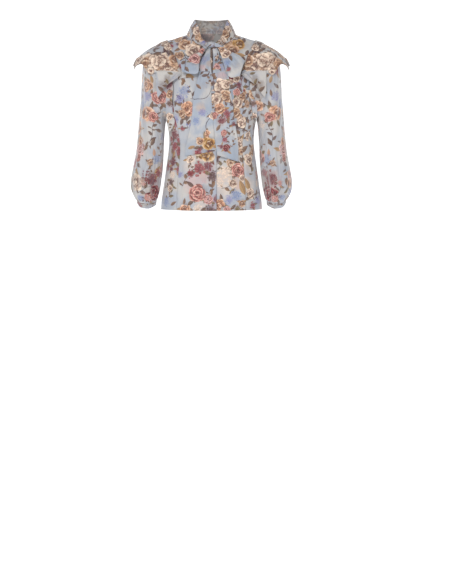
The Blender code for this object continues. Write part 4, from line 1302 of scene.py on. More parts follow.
@dataclass
class Sleeves:
    """Bishop sleeves gathered into short cuffs."""

    figure: Figure
    around: int = 144
    rows: int = 150
    cuff_rows: int = 8
    middle_y: float = -0.0020
    gathers: int = 7
    fine_gathers: int = 23
    back_dip: float = 0.45
    rings: tuple = (
        # x_out   z_out    x_in    z_in     front   back    dip     gather
        (0.1950, -0.0450, 0.1545, -0.2945, 0.0760, 0.0800, 0.0000, 0.0000),
        (0.2150, -0.0640, 0.1555, -0.3020, 0.0740, 0.0780, 0.0000, 0.0000),
        (0.2280, -0.0920, 0.1565, -0.3110, 0.0715, 0.0755, 0.0000, 0.0000),
        (0.2335, -0.1280, 0.1575, -0.3220, 0.0690, 0.0730, 0.0000, 0.0000),
        (0.2360, -0.1700, 0.1585, -0.3350, 0.0665, 0.0700, 0.0000, 0.0000),
        (0.2385, -0.2180, 0.1595, -0.3500, 0.0640, 0.0670, 0.0000, 0.0000),
        (0.2430, -0.2700, 0.1605, -0.3680, 0.0615, 0.0640, 0.0000, 0.0002),
        (0.2465, -0.3200, 0.1612, -0.3900, 0.0590, 0.0610, 0.0000, 0.0004),
        (0.2505, -0.3670, 0.1620, -0.4150, 0.0575, 0.0590, 0.0005, 0.0006),
        (0.2565, -0.4100, 0.1635, -0.4400, 0.0570, 0.0580, 0.0010, 0.0008),
        (0.2640, -0.4520, 0.1658, -0.4680, 0.0580, 0.0580, 0.0015, 0.0011),
        (0.2700, -0.4880, 0.1690, -0.4930, 0.0585, 0.0580, 0.0020, 0.0014),
        (0.2695, -0.5130, 0.1725, -0.5140, 0.0565, 0.0560, 0.0030, 0.0018),
        (0.2640, -0.5330, 0.1768, -0.5330, 0.0515, 0.0510, 0.0045, 0.0022),
        (0.2560, -0.5485, 0.1818, -0.5480, 0.0440, 0.0440, 0.0070, 0.0024),
        (0.2500, -0.5570, 0.1862, -0.5560, 0.0380, 0.0380, 0.0090, 0.0018),
    )
    cuff_rings: tuple = (
        # x_out   z_out    x_in    z_in     front   back    dip     gather
        (0.2496, -0.5578, 0.1868, -0.5568, 0.0376, 0.0376, 0.0094, 0.0015),
        (0.2500, -0.5608, 0.1864, -0.5598, 0.0378, 0.0378, 0.0145, 0.0012),
        (0.2508, -0.5645, 0.1856, -0.5640, 0.0382, 0.0384, 0.0205, 0.0010),
    )
    creases_front: tuple[Crease, ...] = creases(
        (214, -330, 222, -520, 7, 3.8, 0.5, -3), (236, -360, 246, -512, 7, -3.2, 0.6, 2),
        (200, -372, 206, -536, 8, 3.5, 0.5, 4), (186, -400, 194, -540, 7, -2.6, 0.6, -2),
        (228, -420, 232, -540, 5, 2.6, 0.5, 2), (176, -300, 172, -470, 7, -1.6, 0.7, 3),
        (208, -206, 214, -330, 10, 2.6, 0.6, 4), (190, -170, 182, -300, 9, -2.3, 0.6, 4),
        (170, -250, 196, -232, 7, 1.4, 0.5, 2), (166, -296, 204, -282, 8, -1.6, 0.5, 3),
        (226, -150, 230, -300, 9, 2.3, 0.8, -4), (164, -330, 196, -344, 7, 1.3, 0.5, 3),
    )
    creases_back: tuple[Crease, ...] = creases(
        (204, -220, 212, -520, 9, 3.2, 0.6, 5), (226, -260, 236, -526, 8, -3.0, 0.6, -4),
        (188, -300, 190, -538, 8, 3.0, 0.6, 3), (172, -240, 176, -500, 8, -1.8, 0.7, -4),
        (176, -232, 214, -210, 9, 1.8, 0.5, 4), (168, -300, 212, -284, 9, -1.8, 0.5, -4),
        (216, -380, 222, -540, 6, 2.4, 0.5, 2), (246, -400, 252, -520, 7, 2.2, 0.7, -2),
    )
    motifs_front: tuple[Motif, ...] = motifs(
        # The first two smudges, plum and smoke, are painted shade under the flounce's flap.
        (SMUDGE, 160, -206, 24, 0, PLUM), (SMUDGE, 176, -226, 22, 0, SMOKE),
        (SPRIG, 184, -128, 22, 65, BRONZE), (LEAF, 200, -150, 14, 70, OCHRE),
        (SMUDGE, 196, -170, 26, 0, SMOKE), (FLORETS, 218, -208, 20, 0, VIOLET),
        (FLORETS, 230, -232, 19, 30, BLUE), (LEAF, 200, -196, 12, 100, BRONZE),
        (SMUDGE, 214, -270, 36, 0, APRICOT), (PEONY, 218, -264, 26, 0, APRICOT),
        (ROSE2, 192, -278, 18, 30, BLUSH), (PEONY2, 238, -262, 13, 0, CREAM),
        (SPRIG, 190, -296, 22, 110, UMBER), (BRANCH, 206, -320, 30, 85, STEM),
        (SPRIG, 202, -340, 24, 100, PLUM), (LEAF, 196, -360, 15, 120, UMBER),
        (LEAF, 214, -352, 13, 60, OLIVE), (SMUDGE, 242, -390, 34, 0, PINK), (ROSE, 242, -386, 24, 85, PINK),
        (PEONY2, 240, -358, 15, 85, APRICOT), (ROSE2, 246, -414, 13, 0, BLUSH),
        (FLORETS, 182, -418, 17, 0, BLUE), (LEAF, 192, -396, 13, 85, APRICOT),
        (SPRIG, 172, -386, 20, 80, BRONZE), (PEONY, 204, -430, 11, 0, TAN),
        (SMUDGE, 194, -494, 38, 0, WINE), (SMUDGE, 182, -468, 26, 0, PLUM),
        (BERRIES, 198, -486, 30, 0, WINE), (BERRIES, 178, -464, 18, 40, MAROON),
        (BERRIES, 228, -498, 11, 0, BLUSH), (ROSE, 198, -534, 29, 0, MAROON),
        (ROSE2, 216, -550, 13, 0, BLUSH), (FLORETS, 240, -548, 13, 0, BLUE),
        (LEAF, 176, -556, 13, 60, OLIVE),
    )

    def _turns(self) -> np.ndarray:
        """Angles round a sleeve from its under seam, over the back, to the seam again."""
        return math.pi - np.linspace(0.0, TURN, self.around + 1)

    def _armhole(self) -> np.ndarray:
        """Runs round the left armhole, just clear of the body.

        Returns:
            A point for each of the sleeve's columns.
        """
        f = self.figure
        turn = self._turns()
        ring = (f.underarm + f.shoulder) / 2 + (f.shoulder - f.underarm) / 2 * np.cos(turn)
        theta = np.where(np.sin(turn) > 0, f.front_edge(ring), f.back_edge(ring))
        theta = np.where(np.abs(np.sin(turn)) < 1e-9, math.pi / 2, theta)
        return f.skin(theta, ring) + f.normal(theta, ring) * 0.0004

    def _tube(self, table: tuple) -> np.ndarray:
        """Draws the rings of a sleeve or cuff on the wearer's left.

        Args:
            table: rows of x_out, z_out, x_in, z_in, front, back, dip and gather.
        Returns:
            Rings by columns by 3.
        """
        turn = self._turns()
        c, s = np.cos(turn)[:, None], np.sin(turn)[:, None]
        rings = []
        for x_out, z_out, x_in, z_in, front, back, dip, gather in table:
            middle = np.array([(x_out + x_in) / 2, self.middle_y, (z_out + z_in) / 2])
            reach = np.array([x_out - x_in, 0.0, z_out - z_in]) / 2
            points = middle + reach * c + AHEAD * np.where(s > 0, front, back) * s
            points[:, 2] -= dip * np.where(s[:, 0] > 0, s[:, 0], self.back_dip * s[:, 0])
            fine = 0.45 * gather * np.sin(turn * self.fine_gathers + 1.4 * np.sin(3 * turn))
            wave = gather * np.cos(turn * self.gathers) + fine
            rings.append(points + unit(points - middle) * wave[:, None])
        return np.array(rings)

    def grid(self) -> np.ndarray:
        """Draws the left sleeve's outer skin, from the armhole to above the cuff.

        Returns:
            Rows by columns by 3.
        """
        first = self._armhole()
        rings = self._tube(self.rings)
        second = first * 0.62 + rings[0] * 0.38
        coarse = np.concatenate([first[None], second[None], rings, self._tube(self.cuff_rings[:1])])
        return rounded(coarse, np.linspace(0, len(coarse) - 1, self.rows))

    def cut(self) -> list[Cloth]:
        """Cuts and folds the sleeves.

        Returns:
            Both sleeves and both cuffs.
        """
        made = []
        front = self.around // 4 * 3  # the column in front, from which the cloth is laid flat
        cuff = rounded(self._tube(self.cuff_rings), np.linspace(0, len(self.cuff_rings) - 1, self.cuff_rows))
        for part, skin in (("sleeve", self.grid()), ("cuff", cuff)):
            out = grid_normals(skin, skin - skin.mean(axis=1, keepdims=True))
            u, v = travelled(skin, 1), travelled(skin, 0)
            flat = np.stack([u[:, [front]] - u, (v[-1:] - v) + skin[-1, front, 2]], axis=-1)
            for side, name in ((1, "left"), (-1, "right")):
                before, behind, placed = sided(side, self.creases_front, self.creases_back, self.motifs_front)
                strewn = (Scatter(23, 7000.0, close=0.85), Scatter(24, 3000.0, SMALL))
                grids = turned(side, skin, out, flat)
                cloth = Cloth(f"{part}_{name}", "sleeve_cloth", *grids, placed, strewn, closed=True)
                if part == "sleeve":
                    cloth.fold(before)
                    cloth.fold(behind, behind=True)
                    cloth.sew("t")
                    cloth.ruffle(0.0005, 0.050, 140)
                cloth.skin[:, -1] = cloth.skin[:, 0]
                cloth.refresh()
                close_ring(cloth.out)
                made.append(cloth)
        return made


@dataclass
class Collar:
    """The band round the neck that runs into the bow."""

    figure: Figure
    columns: int = 151
    rows: int = 26
    bulge: float = 0.0050
    top: tuple = (
        # x       y        z
        (0.0111, -0.0700, -0.0290),
        (0.0220, -0.0640, -0.0215),
        (0.0330, -0.0540, -0.0100),
        (0.0410, -0.0390, 0.0180),
        (0.0500, -0.0200, 0.0390),
        (0.0562, 0.0030, 0.0500),
        (0.0540, 0.0270, 0.0520),
        (0.0400, 0.0500, 0.0510),
        (0.0205, 0.0610, 0.0500),
        (0.0000, 0.0640, 0.0495),
    )
    creases_front: tuple[Crease, ...] = creases(
        (18, -32, 42, 4, 3.0, -1.4, 0.6, 1), (22, -30, 60, 2, 3.5, 1.5, 0.6, 2),
        (30, -34, 66, -8, 3.0, -1.3, 0.6, 1), (38, -4, 48, 28, 3.0, 1.2, 0.6, 1),
        (48, 0, 58, 36, 3.4, -1.3, 0.6, 1), (62, 0, 62, 34, 3.2, 1.3, 0.6, 1),
    )
    creases_back: tuple[Crease, ...] = creases(
        (-60, 16, -12, 30, 4.0, 1.3, 0.5, 2), (58, 20, 6, 34, 4.0, 1.3, 0.5, -2),
        (-36, 12, 20, 16, 4.0, -1.2, 0.6, 1), (-50, 38, 30, 42, 3.5, 1.0, 0.6, 1),
        (50, 8, 14, 14, 4.0, 1.1, 0.6, 1),
    )
    print_front: tuple[Motif, ...] = motifs(
        (PEONY, -48, 12, 17, 0, CREAM), (PEONY2, -30, -12, 14, 20, TAN), (ROSE, -46, -6, 13, 60, TAN),
        (BERRIES, -36, 6, 12, 0, PLUM), (LEAF, -50, 36, 12, 40, BRONZE), (FLORETS, -28, -24, 11, 0, VIOLET),
        (BERRIES, -62, 22, 11, 0, BRONZE), (PEONY, 44, 4, 16, 0, TAN), (PEONY2, 30, -16, 14, 20, CREAM),
        (PEONY2, 56, 20, 13, 20, CREAM), (BERRIES, 40, 18, 12, 0, PLUM), (FLORETS, 52, 38, 12, 0, VIOLET),
        (BERRIES, 28, -2, 9, 0, MAROON), (LEAF, 60, 0, 12, 70, PLUM),
    )
    strewn: tuple[Scatter, ...] = (
        Scatter(5, 20000.0, ((PEONY, 2.0, 0.015, (CREAM, TAN)), (BERRIES, 1.0, 0.010, (PLUM, BRONZE)))),
        Scatter(6, 30000.0, SMALL),
    )

    def cut(self) -> list[Cloth]:
        """Cuts and folds the band.

        Returns:
            The one piece.
        """
        f = self.figure
        turn = np.linspace(-1.0, 1.0, self.columns)
        place = 1.0 - np.abs(turn)
        top = rounded(self.top, place * (len(self.top) - 1))
        start = float(f.angle_at(np.array([self.top[0][0]]), np.array([f.neck]))[0])
        theta = start + (math.pi - start) * place
        out = f.normal(theta, np.full_like(theta, f.neck - 0.01))
        over_lap = 1.0 - smooth_step((place - 0.10) / 0.15)
        low = f.skin(theta, np.full_like(theta, f.neck)) + out * (0.0010 + 0.0026 * over_lap)[:, None]
        low[:, 2] += 0.0020 * over_lap - 0.0022
        rows = []
        for share in np.linspace(1.0, 0.0, self.rows):
            bulge = self.bulge * math.sin(math.pi * share) * smooth_step(place * 5)
            gathers = np.sin(share * TURN * 2.6 + 1.5 * np.sin(place * 7)) * (0.25 + np.exp(-place * 9))
            ends = np.minimum(share, 1 - share) * 4
            lift = bulge + 0.0009 * gathers * np.minimum(ends, 1.0)
            rows.append(low * (1 - share) + top * share + out * lift[:, None])
        skin = np.array(rows)
        skin[..., 0] *= np.where(turn < 0, -1.0, 1.0)
        out = grid_normals(skin, skin * np.array([1.0, 1.0, 0.0]))
        cloth = Cloth("collar", "flounce_cloth", skin, out, flattened(skin), self.print_front, self.strewn)
        cloth.fold(self.creases_front + mirrored(self.creases_front))
        cloth.fold(self.creases_back, behind=True)
        cloth.refresh()
        return [cloth]


@dataclass
class Flounces:
    """Shoulder flounces, each a ruffled piece turned under along a crisp fold, and the frills."""

    figure: Figure
    along_steps: int = 45
    down_steps: int = 8
    columns: int = 241
    rows: int = 46
    clearance: tuple = (0.0036, 0.0050, 0.0054)
    waves: int = 7
    wave: float = 0.0030
    swell: float = 0.62
    tip: tuple = (0.200, 0.010, 0.0075, 3)  # a corner's share of the way round, width, drop and power
    outer: tuple = (0.455, 0.022, 0.0130, 4)
    frill_clearance: tuple = (0.0018, 0.0032, 0.0040)
    frill_rise: float = 0.0080
    stations: tuple = (
        # seam_x  seam_z   hem_x   hem_z    hem_y    lift
        (0.0990, -0.1300, 0.1010, -0.1345, -0.1000, 0.0000),
        (0.1030, -0.1200, 0.1180, -0.1490, -0.0990, 0.0030),
        (0.1070, -0.1090, 0.1390, -0.1650, -0.0960, 0.0060),
        (0.1120, -0.0970, 0.1590, -0.1830, -0.0920, 0.0080),
        (0.1160, -0.0850, 0.1795, -0.2045, -0.0870, 0.0100),
        (0.1200, -0.0740, 0.1830, -0.1660, -0.0790, 0.0100),
        (0.1240, -0.0640, 0.1860, -0.1280, -0.0790, 0.0110),
        (0.1300, -0.0510, 0.2075, -0.1345, -0.0690, 0.0130),
        (0.1360, -0.0400, 0.2350, -0.0965, -0.0500, 0.0150),
        (0.1420, -0.0310, 0.2625, -0.1070, -0.0300, 0.0190),
        (0.1470, -0.0230, 0.2515, -0.0775, -0.0020, 0.0130),
    )
    turned_edge: tuple = ((0.098, -0.1255), (0.128, -0.1225), (0.158, -0.1205), (0.184, -0.1205))
    turned_from: float = 0.094
    turned_to: float = 0.190
    creases_front: tuple[Crease, ...] = creases(
        (181, -122, 183, -196, 3.0, 2.6, 0.25, -1), (104, -128, 140, -160, 5, 1.2, 0.6, 2),
        (120, -128, 168, -188, 6, -1.2, 0.6, -2), (126, -64, 172, -112, 7, 1.8, 0.6, 4),
        (122, -84, 150, -116, 6, -1.6, 0.6, -3), (144, -48, 200, -100, 7, -1.8, 0.6, 4),
        (150, -38, 222, -84, 6, 1.8, 0.5, -3), (200, -92, 206, -132, 5, 1.8, 0.5, 2),
        (226, -74, 236, -98, 4, -1.6, 0.5, 1), (236, -70, 254, -102, 4, 1.6, 0.5, 1),
    )
    creases_back: tuple[Crease, ...] = creases(
        (120, -74, 150, -150, 8, 2.4, 0.6, 4), (130, -60, 176, -180, 8, -2.2, 0.6, -4),
        (138, -50, 190, -120, 8, 2.4, 0.6, 3), (148, -40, 214, -120, 7, -2.0, 0.6, 2),
        (154, -34, 230, -92, 6, 2.0, 0.6, 2), (110, -100, 132, -152, 6, -1.6, 0.6, 2),
    )
    # Zone 1 is above the turned edge, and round the shoulder and behind. Zone 0 is below the edge.
    motifs_front: tuple[Motif, ...] = motifs(
        (PEONY, 142, -104, 33, 10, CREAM, 1), (PEONY2, 119, -88, 25, 60, TAN, 1),
        (PEONY2, 170, -92, 28, 30, CREAM, 1), (PEONY, 200, -94, 30, 80, CREAM, 1),
        (PEONY2, 226, -100, 22, 30, TAN, 1), (ROSE, 122, -110, 15, 0, TAN, 1),
        (ROSE, 172, -114, 15, 80, TAN, 1), (BERRIES, 214, -82, 13, 0, PLUM, 1),
        (BERRIES, 152, -60, 17, 0, PLUM, 1), (SPRIG, 166, -58, 28, 10, PLUM, 1),
        (LEAF, 188, -66, 15, -25, UMBER, 1), (SPRIG, 222, -68, 26, -35, PLUM, 1),
        (LEAF, 134, -62, 14, 60, UMBER, 1), (PEONY2, 146, -42, 15, 0, CREAM, 1),
        (PEONY2, 206, -124, 17, 10, CREAM, 1), (LEAF, 138, -131, 11, 15, OLIVE),
        # Below the turned edge the smudges are painted shade under the flap, and the umber and plum leaves
        # and sprig there are print laid dark to deepen that painted shade.
        (LEAF, 168, -184, 15, 40, UMBER), (LEAF, 148, -158, 12, 60, OLIVE),
        (SMUDGE, 128, -150, 18, 0, SMOKE), (SPRIG, 148, -178, 22, 60, UMBER),
        (LEAF, 130, -172, 15, 100, UMBER), (LEAF, 158, -192, 14, 30, PLUM),
        (SMUDGE, 142, -184, 28, 0, PLUM), (SMUDGE, 120, -148, 26, 0, SMOKE),
        (SMUDGE, 134, -196, 22, 0, PLUM), (SMUDGE, 146, -152, 22, 0, PLUM),
        (SMUDGE, 160, -170, 24, 0, UMBER), (SMUDGE, 118, -176, 24, 0, PLUM),
    )
    motifs_back: tuple[Motif, ...] = motifs(
        (PEONY, 150, -70, 26, 10, CREAM), (PEONY2, 128, -94, 20, 60, TAN), (PEONY, 196, -84, 24, 30, TAN),
        (PEONY2, 172, -112, 22, 30, CREAM), (PEONY, 150, -140, 22, 80, TAN),
        (PEONY2, 222, -92, 17, 30, CREAM), (BERRIES, 172, -56, 13, 0, PLUM),
        (SPRIG, 160, -164, 24, 40, BRONZE), (LEAF, 208, -112, 13, 40, OLIVE),
    )
    strewn: tuple[Scatter, ...] = (
        Scatter(51, 60000.0, PEONIES, (96, 275, -119, -62), close=0.60),
        Scatter(52, 42000.0, PEONIES, (96, 275, -66, -18), close=0.66),
        Scatter(53, 3000.0, SMALL, (110, 275, -140, -20)),
    )
    frill_right: tuple = (
        # z       x_in    x_out
        (-0.1880, 0.1290, 0.1450),
        (-0.2050, 0.1300, 0.1500),
        (-0.2250, 0.1305, 0.1515),
        (-0.2450, 0.1300, 0.1520),
        (-0.2650, 0.1285, 0.1525),
        (-0.2800, 0.1240, 0.1515),
        (-0.2950, 0.1225, 0.1490),
        (-0.3100, 0.1280, 0.1465),
        (-0.3260, 0.1390, 0.1435),
    )
    frill_left: tuple = (
        # z       x_in    x_out
        (-0.1860, 0.1140, 0.1320),
        (-0.2000, 0.1200, 0.1370),
        (-0.2150, 0.1260, 0.1430),
        (-0.2300, 0.1310, 0.1485),
        (-0.2450, 0.1350, 0.1520),
        (-0.2620, 0.1370, 0.1535),
        (-0.2800, 0.1375, 0.1525),
    )
    motifs_frill: tuple[Motif, ...] = motifs(
        (PEONY, 140, -200, 16, 0, TAN), (BERRIES, 140, -232, 12, 0, UMBER), (PEONY2, 140, -276, 13, 0, CREAM)
    )

    def _coarse(self) -> np.ndarray:
        """Draws the left flounce's skin at the solid's own steps.

        Returns:
            Rows from the seam to the hem.
        """
        f = self.figure
        turn = np.linspace(-1.0, 1.0, self.along_steps)
        place = (1.0 - np.abs(turn)) * (len(self.stations) - 1)
        seam_x, seam_z, hem_x, hem_z, hem_y, lift = rounded(self.stations, place).T
        before = turn <= 0
        height = np.minimum(seam_z, -0.0262)
        seam_y = np.where(before, f.front_y(seam_x, height), f.back_y(seam_x, height))
        ease = smooth_step(np.abs(turn) / 0.10)
        hem_y = np.where(before, hem_y, -hem_y * 0.96 - 0.004)
        seam = np.stack([seam_x, seam_y * ease, seam_z], axis=-1)
        hem = np.stack([hem_x, hem_y, hem_z], axis=-1)
        sideways = np.full_like(turn, 0.50)
        out = unit(np.stack([sideways, np.where(before, -1, 1) * ease * 0.8, sideways * 1.3], axis=-1))
        rows = []
        for share in np.linspace(0.0, 1.0, self.down_steps):
            wave = self.wave * share**2 * np.sin(turn * math.pi * self.waves) * (1 - np.abs(turn) ** 6)
            swell = (4 * share * (1 - share)) ** self.swell
            rows.append(seam * (1 - share) + hem * share + out * (lift * swell + wave)[:, None])
        clear = np.full(self.down_steps, self.clearance[-1])
        clear[:2] = self.clearance[:2]
        grid = f.pushed_out(np.array(rows), clear)
        for _ in range(3):
            soft = grid.copy()
            around = grid[:-2, 1:-1] + grid[2:, 1:-1] + grid[1:-1, :-2] + grid[1:-1, 2:]
            soft[1:-1, 1:-1] = (grid[1:-1, 1:-1] * 2 + around) / 6
            grid = f.pushed_out(soft, clear)
        return grid

    def _turn_under(self, cloth: Cloth, side: float) -> None:
        """Raises the cloth to a crisp edge above which the print shows its other part.

        Args:
            cloth: the flounce.
            side: 1 on the wearer's left, -1 on the right.
        """
        front = cloth.out[..., 1] < -0.05

        def above_line() -> np.ndarray:
            """How far each point is above the turned edge."""
            return cloth.skin[..., 2] - np.interp(cloth.skin[..., 0] * side, *zip(*self.turned_edge))

        above = above_line()
        # One point of each column that crosses the edge is moved onto it.
        crosses = (above[:-1] > 0) & (above[1:] <= 0) & front[:-1]
        for row, column in zip(*np.nonzero(crosses)):
            share = above[row, column] / (above[row, column] - above[row + 1, column])
            a, b = cloth.skin[row, column], cloth.skin[row + 1, column]
            cloth.skin[row + int(share > 0.5), column] = a * (1 - share) + b * share
        above = above_line()
        x = cloth.skin[..., 0] * side
        ends = smooth_step((x - self.turned_from) / 0.012) * smooth_step((self.turned_to - x) / 0.010) * front
        up = np.maximum(above, 0.0)
        lip = np.where(above > -1e-6, np.exp(-up / 0.012), 0.0) * ends
        cloth.raise_by(0.0036 * lip)
        cloth.skin[..., 2] -= 0.0028 * lip * np.exp(-up / 0.006)
        cloth.zone = ((above > 1e-6) | (x > self.turned_to) | ~front).astype(int)

    def cut(self) -> list[Cloth]:
        """Cuts and folds the flounces.

        Returns:
            Both flounces and both frills.
        """
        made = []
        way, down = np.linspace(0.0, 1.0, self.columns), edged(self.rows)
        base = finer(self._coarse(), down, way)
        for at, width, drop, power in (self.outer, self.tip):
            base[..., 2] -= drop * np.exp(-np.abs(way - at) / width)[None, :] * down[:, None] ** power
        away = grid_normals(base, np.array([0.6, 0.0, 0.8]))
        for side, name in ((1, "left"), (-1, "right")):
            skin, out = turned(side, base, away)
            (flat,) = turned(side, flattened(skin))
            placed, strewn, *folds = sided(
                side, self.motifs_front, self.strewn, self.creases_front, self.creases_back
            )
            cloth = Cloth(f"flounce_{name}", "flounce_cloth", skin, out, flat, placed, strewn, "b")
            (cloth.behind,) = sided(side, tuple(replace(m, zone=1) for m in self.motifs_back))
            cloth.fold(folds[0], edge_on=0.0)
            cloth.fold(folds[1], behind=True)
            self._turn_under(cloth, side)
            cloth.refresh()
            made.append(cloth)
        return made + self._frills()

    def _frills(self) -> list[Cloth]:
        """Cuts the strips along the lower front of the armholes, the right one with a curled free end.

        Returns:
            Both frills.
        """
        made = []
        count = 60
        share = edged(11)
        for name, table, side, curl, reach in (
            ("right", self.frill_right, -1.0, 0.0040, 0.1290),
            ("left", self.frill_left, 1.0, 0.0010, 0.1375),
        ):
            z, x_in, x_out = rounded(table, np.linspace(0, len(table) - 1, count)).T
            y_in = self.figure.front_y(np.minimum(x_in, reach), z) - self.frill_clearance[0]
            x = x_in[:, None] * (1 - share) + x_out[:, None] * share
            y = y_in[:, None] + self.frill_rise * share - curl * np.sin(math.pi * share)
            y = y - 0.0012 * np.sin(np.linspace(0, 9, count))[:, None] * share**2
            skin = np.stack([x, y, np.repeat(z[:, None], len(share), axis=1)], axis=-1)
            clear = np.interp(share, [0.0, 0.25, 0.5, 1.0], [*self.frill_clearance, self.frill_clearance[-1]])
            (skin,) = turned(side, self.figure.pushed_out(skin.swapaxes(0, 1), clear).swapaxes(0, 1))
            out = grid_normals(skin, AHEAD)
            placed = tuple(replace(m, x=m.x * side) for m in self.motifs_frill)
            cloth = Cloth(f"frill_{name}", "flounce_cloth", skin, out, flattened(skin), placed, hems="r")
            cloth.refresh()
            made.append(cloth)
        return made


BOW_PRINTS = {
    "tail_right": motifs(
        (SMUDGE, -24, -84, 20, 0, VIOLET), (SMUDGE, -8, -98, 15, 0, TAN), (SMUDGE, -30, -112, 15, 0, PINK),
        (SPRIG, -24, -124, 18, 170, PLUM), (LEAF, -20, -138, 13, 12, PLUM),
        (SPRIG, -6, -150, 16, 85, BRONZE), (SMUDGE, -20, -170, 20, 0, SMOKE),
        (BRANCH, -26, -206, 34, 32, STEM), (SPRIG, -8, -186, 14, 80, BRONZE),
        (LEAF, -42, -176, 12, -50, BRONZE), (SPRIG, -10, -232, 16, 110, UMBER),
        (SMUDGE, -34, -246, 22, 0, TAN), (FLORETS, -30, -262, 14, 0, VIOLET),
        (FLORETS, -50, -290, 14, 20, BLUE), (BRANCH, -6, -308, 42, 76, STEM),
        (SPRIG, -34, -318, 18, 20, BRONZE), (BRANCH, -46, -346, 34, 14, STEM),
        (PEONY, -10, -366, 23, 0, OCHRE), (PEONY2, -38, -358, 14, 0, TAN),
        (PEONY2, -16, -332, 11, 0, APRICOT), (BERRIES, -44, -398, 17, 0, MAROON),
        (BERRIES, -8, -398, 14, 0, WINE), (LEAF, -66, -378, 13, 20, OCHRE),
    ),
    "tail_left": motifs(
        (ROSE, 18, -108, 12, 0, PINK), (SMUDGE, 36, -110, 20, 0, VIOLET), (SMUDGE, 34, -140, 22, 0, PINK),
        (LEAF, 10, -142, 13, -60, BRONZE), (SPRIG, 6, -128, 14, 80, UMBER), (SMUDGE, 20, -86, 15, 0, SMOKE),
        (PEONY, 24, -176, 26, 0, CREAM), (PEONY2, 50, -168, 17, 0, CREAM), (BERRIES, 6, -164, 9, 0, UMBER),
        (PEONY, 16, -216, 22, 30, CREAM), (PEONY2, 44, -208, 19, 30, TAN), (SPRIG, 60, -188, 18, 85, UMBER),
        (PEONY2, 26, -246, 18, 0, APRICOT), (SPRIG, 48, -240, 18, 60, PLUM),
        (ROSE2, 12, -272, 12, 0, BLUSH), (BERRIES, 52, -266, 17, 0, MAROON),
        (BERRIES, 34, -290, 16, 40, WINE), (SPRIG, 62, -300, 16, 80, PLUM),
        (LEAF, 24, -312, 13, 60, BRONZE), (ROSE2, 44, -328, 11, 0, BLUSH),
        (BERRIES, 44, -352, 11, 0, MAROON), (ROSE, 52, -380, 13, 0, MAROON),
        (BERRIES, 34, -376, 9, 0, WINE), (SMUDGE, 30, -350, 22, 0, SMOKE),
        (SPRIG, 74, -362, 14, 80, BRONZE),
    ),
    "loop_under": motifs(
        (BERRIES, 70, -150, 16, 0, MAROON), (PEONY, 84, -150, 13, 0, CREAM),
        (BERRIES, 92, -170, 13, 0, WINE), (LEAF, 74, -176, 14, 30, PLUM), (PEONY2, 66, -160, 10, 0, CREAM),
        (ROSE, 84, -194, 13, 0, BLUSH),
    ),
    "knot_fold": motifs(
        (LEAF, 14, -88, 8, 80, PLUM), (BERRIES, 10, -44, 6, 0, STEM),
    ),
    "loop_right": motifs(
        (ROSE, -58, -82, 21, 0, PINK), (ROSE2, -31, -57, 11, 0, BLUSH), (LEAF, -45, -59, 12, 215, WINE),
        (SMUDGE, -84, -104, 15, 0, SMOKE), (LEAF, -76, -92, 9, 200, OLIVE),
    ),
    "loop_left": motifs(
        (PEONY, 47, -66, 19, 0, CREAM), (PEONY2, 34, -52, 11, 0, TAN), (BERRIES, 38, -58, 9, 0, UMBER),
        (FLORETS, 52, -97, 13, 0, BLUE), (BERRIES, 58, -119, 9, 80, MAROON),
        (SMUDGE, 84, -104, 17, 0, SMOKE),
    ),
    "knot": motifs(
        (SMUDGE, 4, -30, 8, 0, SMOKE), (LEAF, -4, -37, 6, 40, PLUM), (BERRIES, 7, -40, 4, 0, VIOLET),
    ),
}
BOW_CREASES = {
    "tail_right": creases(
        (-12, -60, -34, -130, 4, 1.6, 0.5, 2), (-6, -60, -16, -190, 5, -1.3, 0.6, 2),
        (-24, -70, -46, -210, 5, -1.3, 0.6, -2), (-30, -160, -50, -350, 8, 1.8, 0.5, 4),
        (-14, -180, -14, -380, 8, -1.5, 0.7, 3), (-46, -230, -66, -395, 7, -1.4, 0.7, -2),
        (2, -120, 6, -380, 6, 1.6, 0.6, 1),
    ),
    "tail_left": creases(
        (8, -60, 20, -150, 4, 1.8, 0.5, -2), (18, -70, 44, -150, 5, -1.6, 0.6, 2),
        (26, -84, 52, -140, 4, 1.6, 0.6, 1), (20, -150, 26, -380, 8, -1.8, 0.7, 4),
        (40, -150, 60, -400, 8, 2.0, 0.5, -4), (60, -190, 78, -400, 6, -1.6, 0.7, 2),
        (6, -100, 14, -360, 5, 1.6, 0.6, 1),
    ),
    "loop_under": creases(
        (64, -136, 84, -196, 4, 1.0, 0.6, 1), (80, -136, 100, -180, 4, -0.9, 0.6, 1),
    ),
    "knot_fold": creases(
        (9, -48, 14, -84, 2.2, -1.2, 0.6, 0.5), (16, -50, 20, -84, 2.2, 1.0, 0.6, 0.5),
    ),
    "loop_right": creases(
        (-20, -44, -84, -104, 5, 1.8, 0.5, -3), (-22, -50, -60, -118, 5, -1.8, 0.6, 2),
        (-30, -56, -96, -116, 4, -1.2, 0.6, 2), (-24, -42, -62, -70, 3.5, -1.4, 0.6, 1),
    ),
    "loop_left": creases(
        (22, -42, 96, -100, 5, -2.0, 0.6, 3), (24, -40, 90, -80, 4, 1.8, 0.5, 2),
        (30, -52, 76, -124, 6, 2.0, 0.6, -3), (56, -84, 84, -112, 4, -2.2, 0.5, -2),
        (28, -50, 62, -118, 4, -1.4, 0.6, 1),
    ),
}
BOW_STREWN = {
    "tail_left": (
        Scatter(61, 34000.0, PEONIES, (0, 72, -250, -150), close=0.66),
        Scatter(62, 14000.0, VINE, (20, 84, -320, -255), close=0.7),
    ),
    "tail_right": (Scatter(64, 2500.0, LEAFY, (-90, 20, -400, -120)),),
    "loop_under": (Scatter(66, 40000.0, VINE), Scatter(67, 30000.0, PEONIES)),
    "knot_fold": (Scatter(68, 30000.0, LEAFY, (0, 40, -90, -75)),),
}


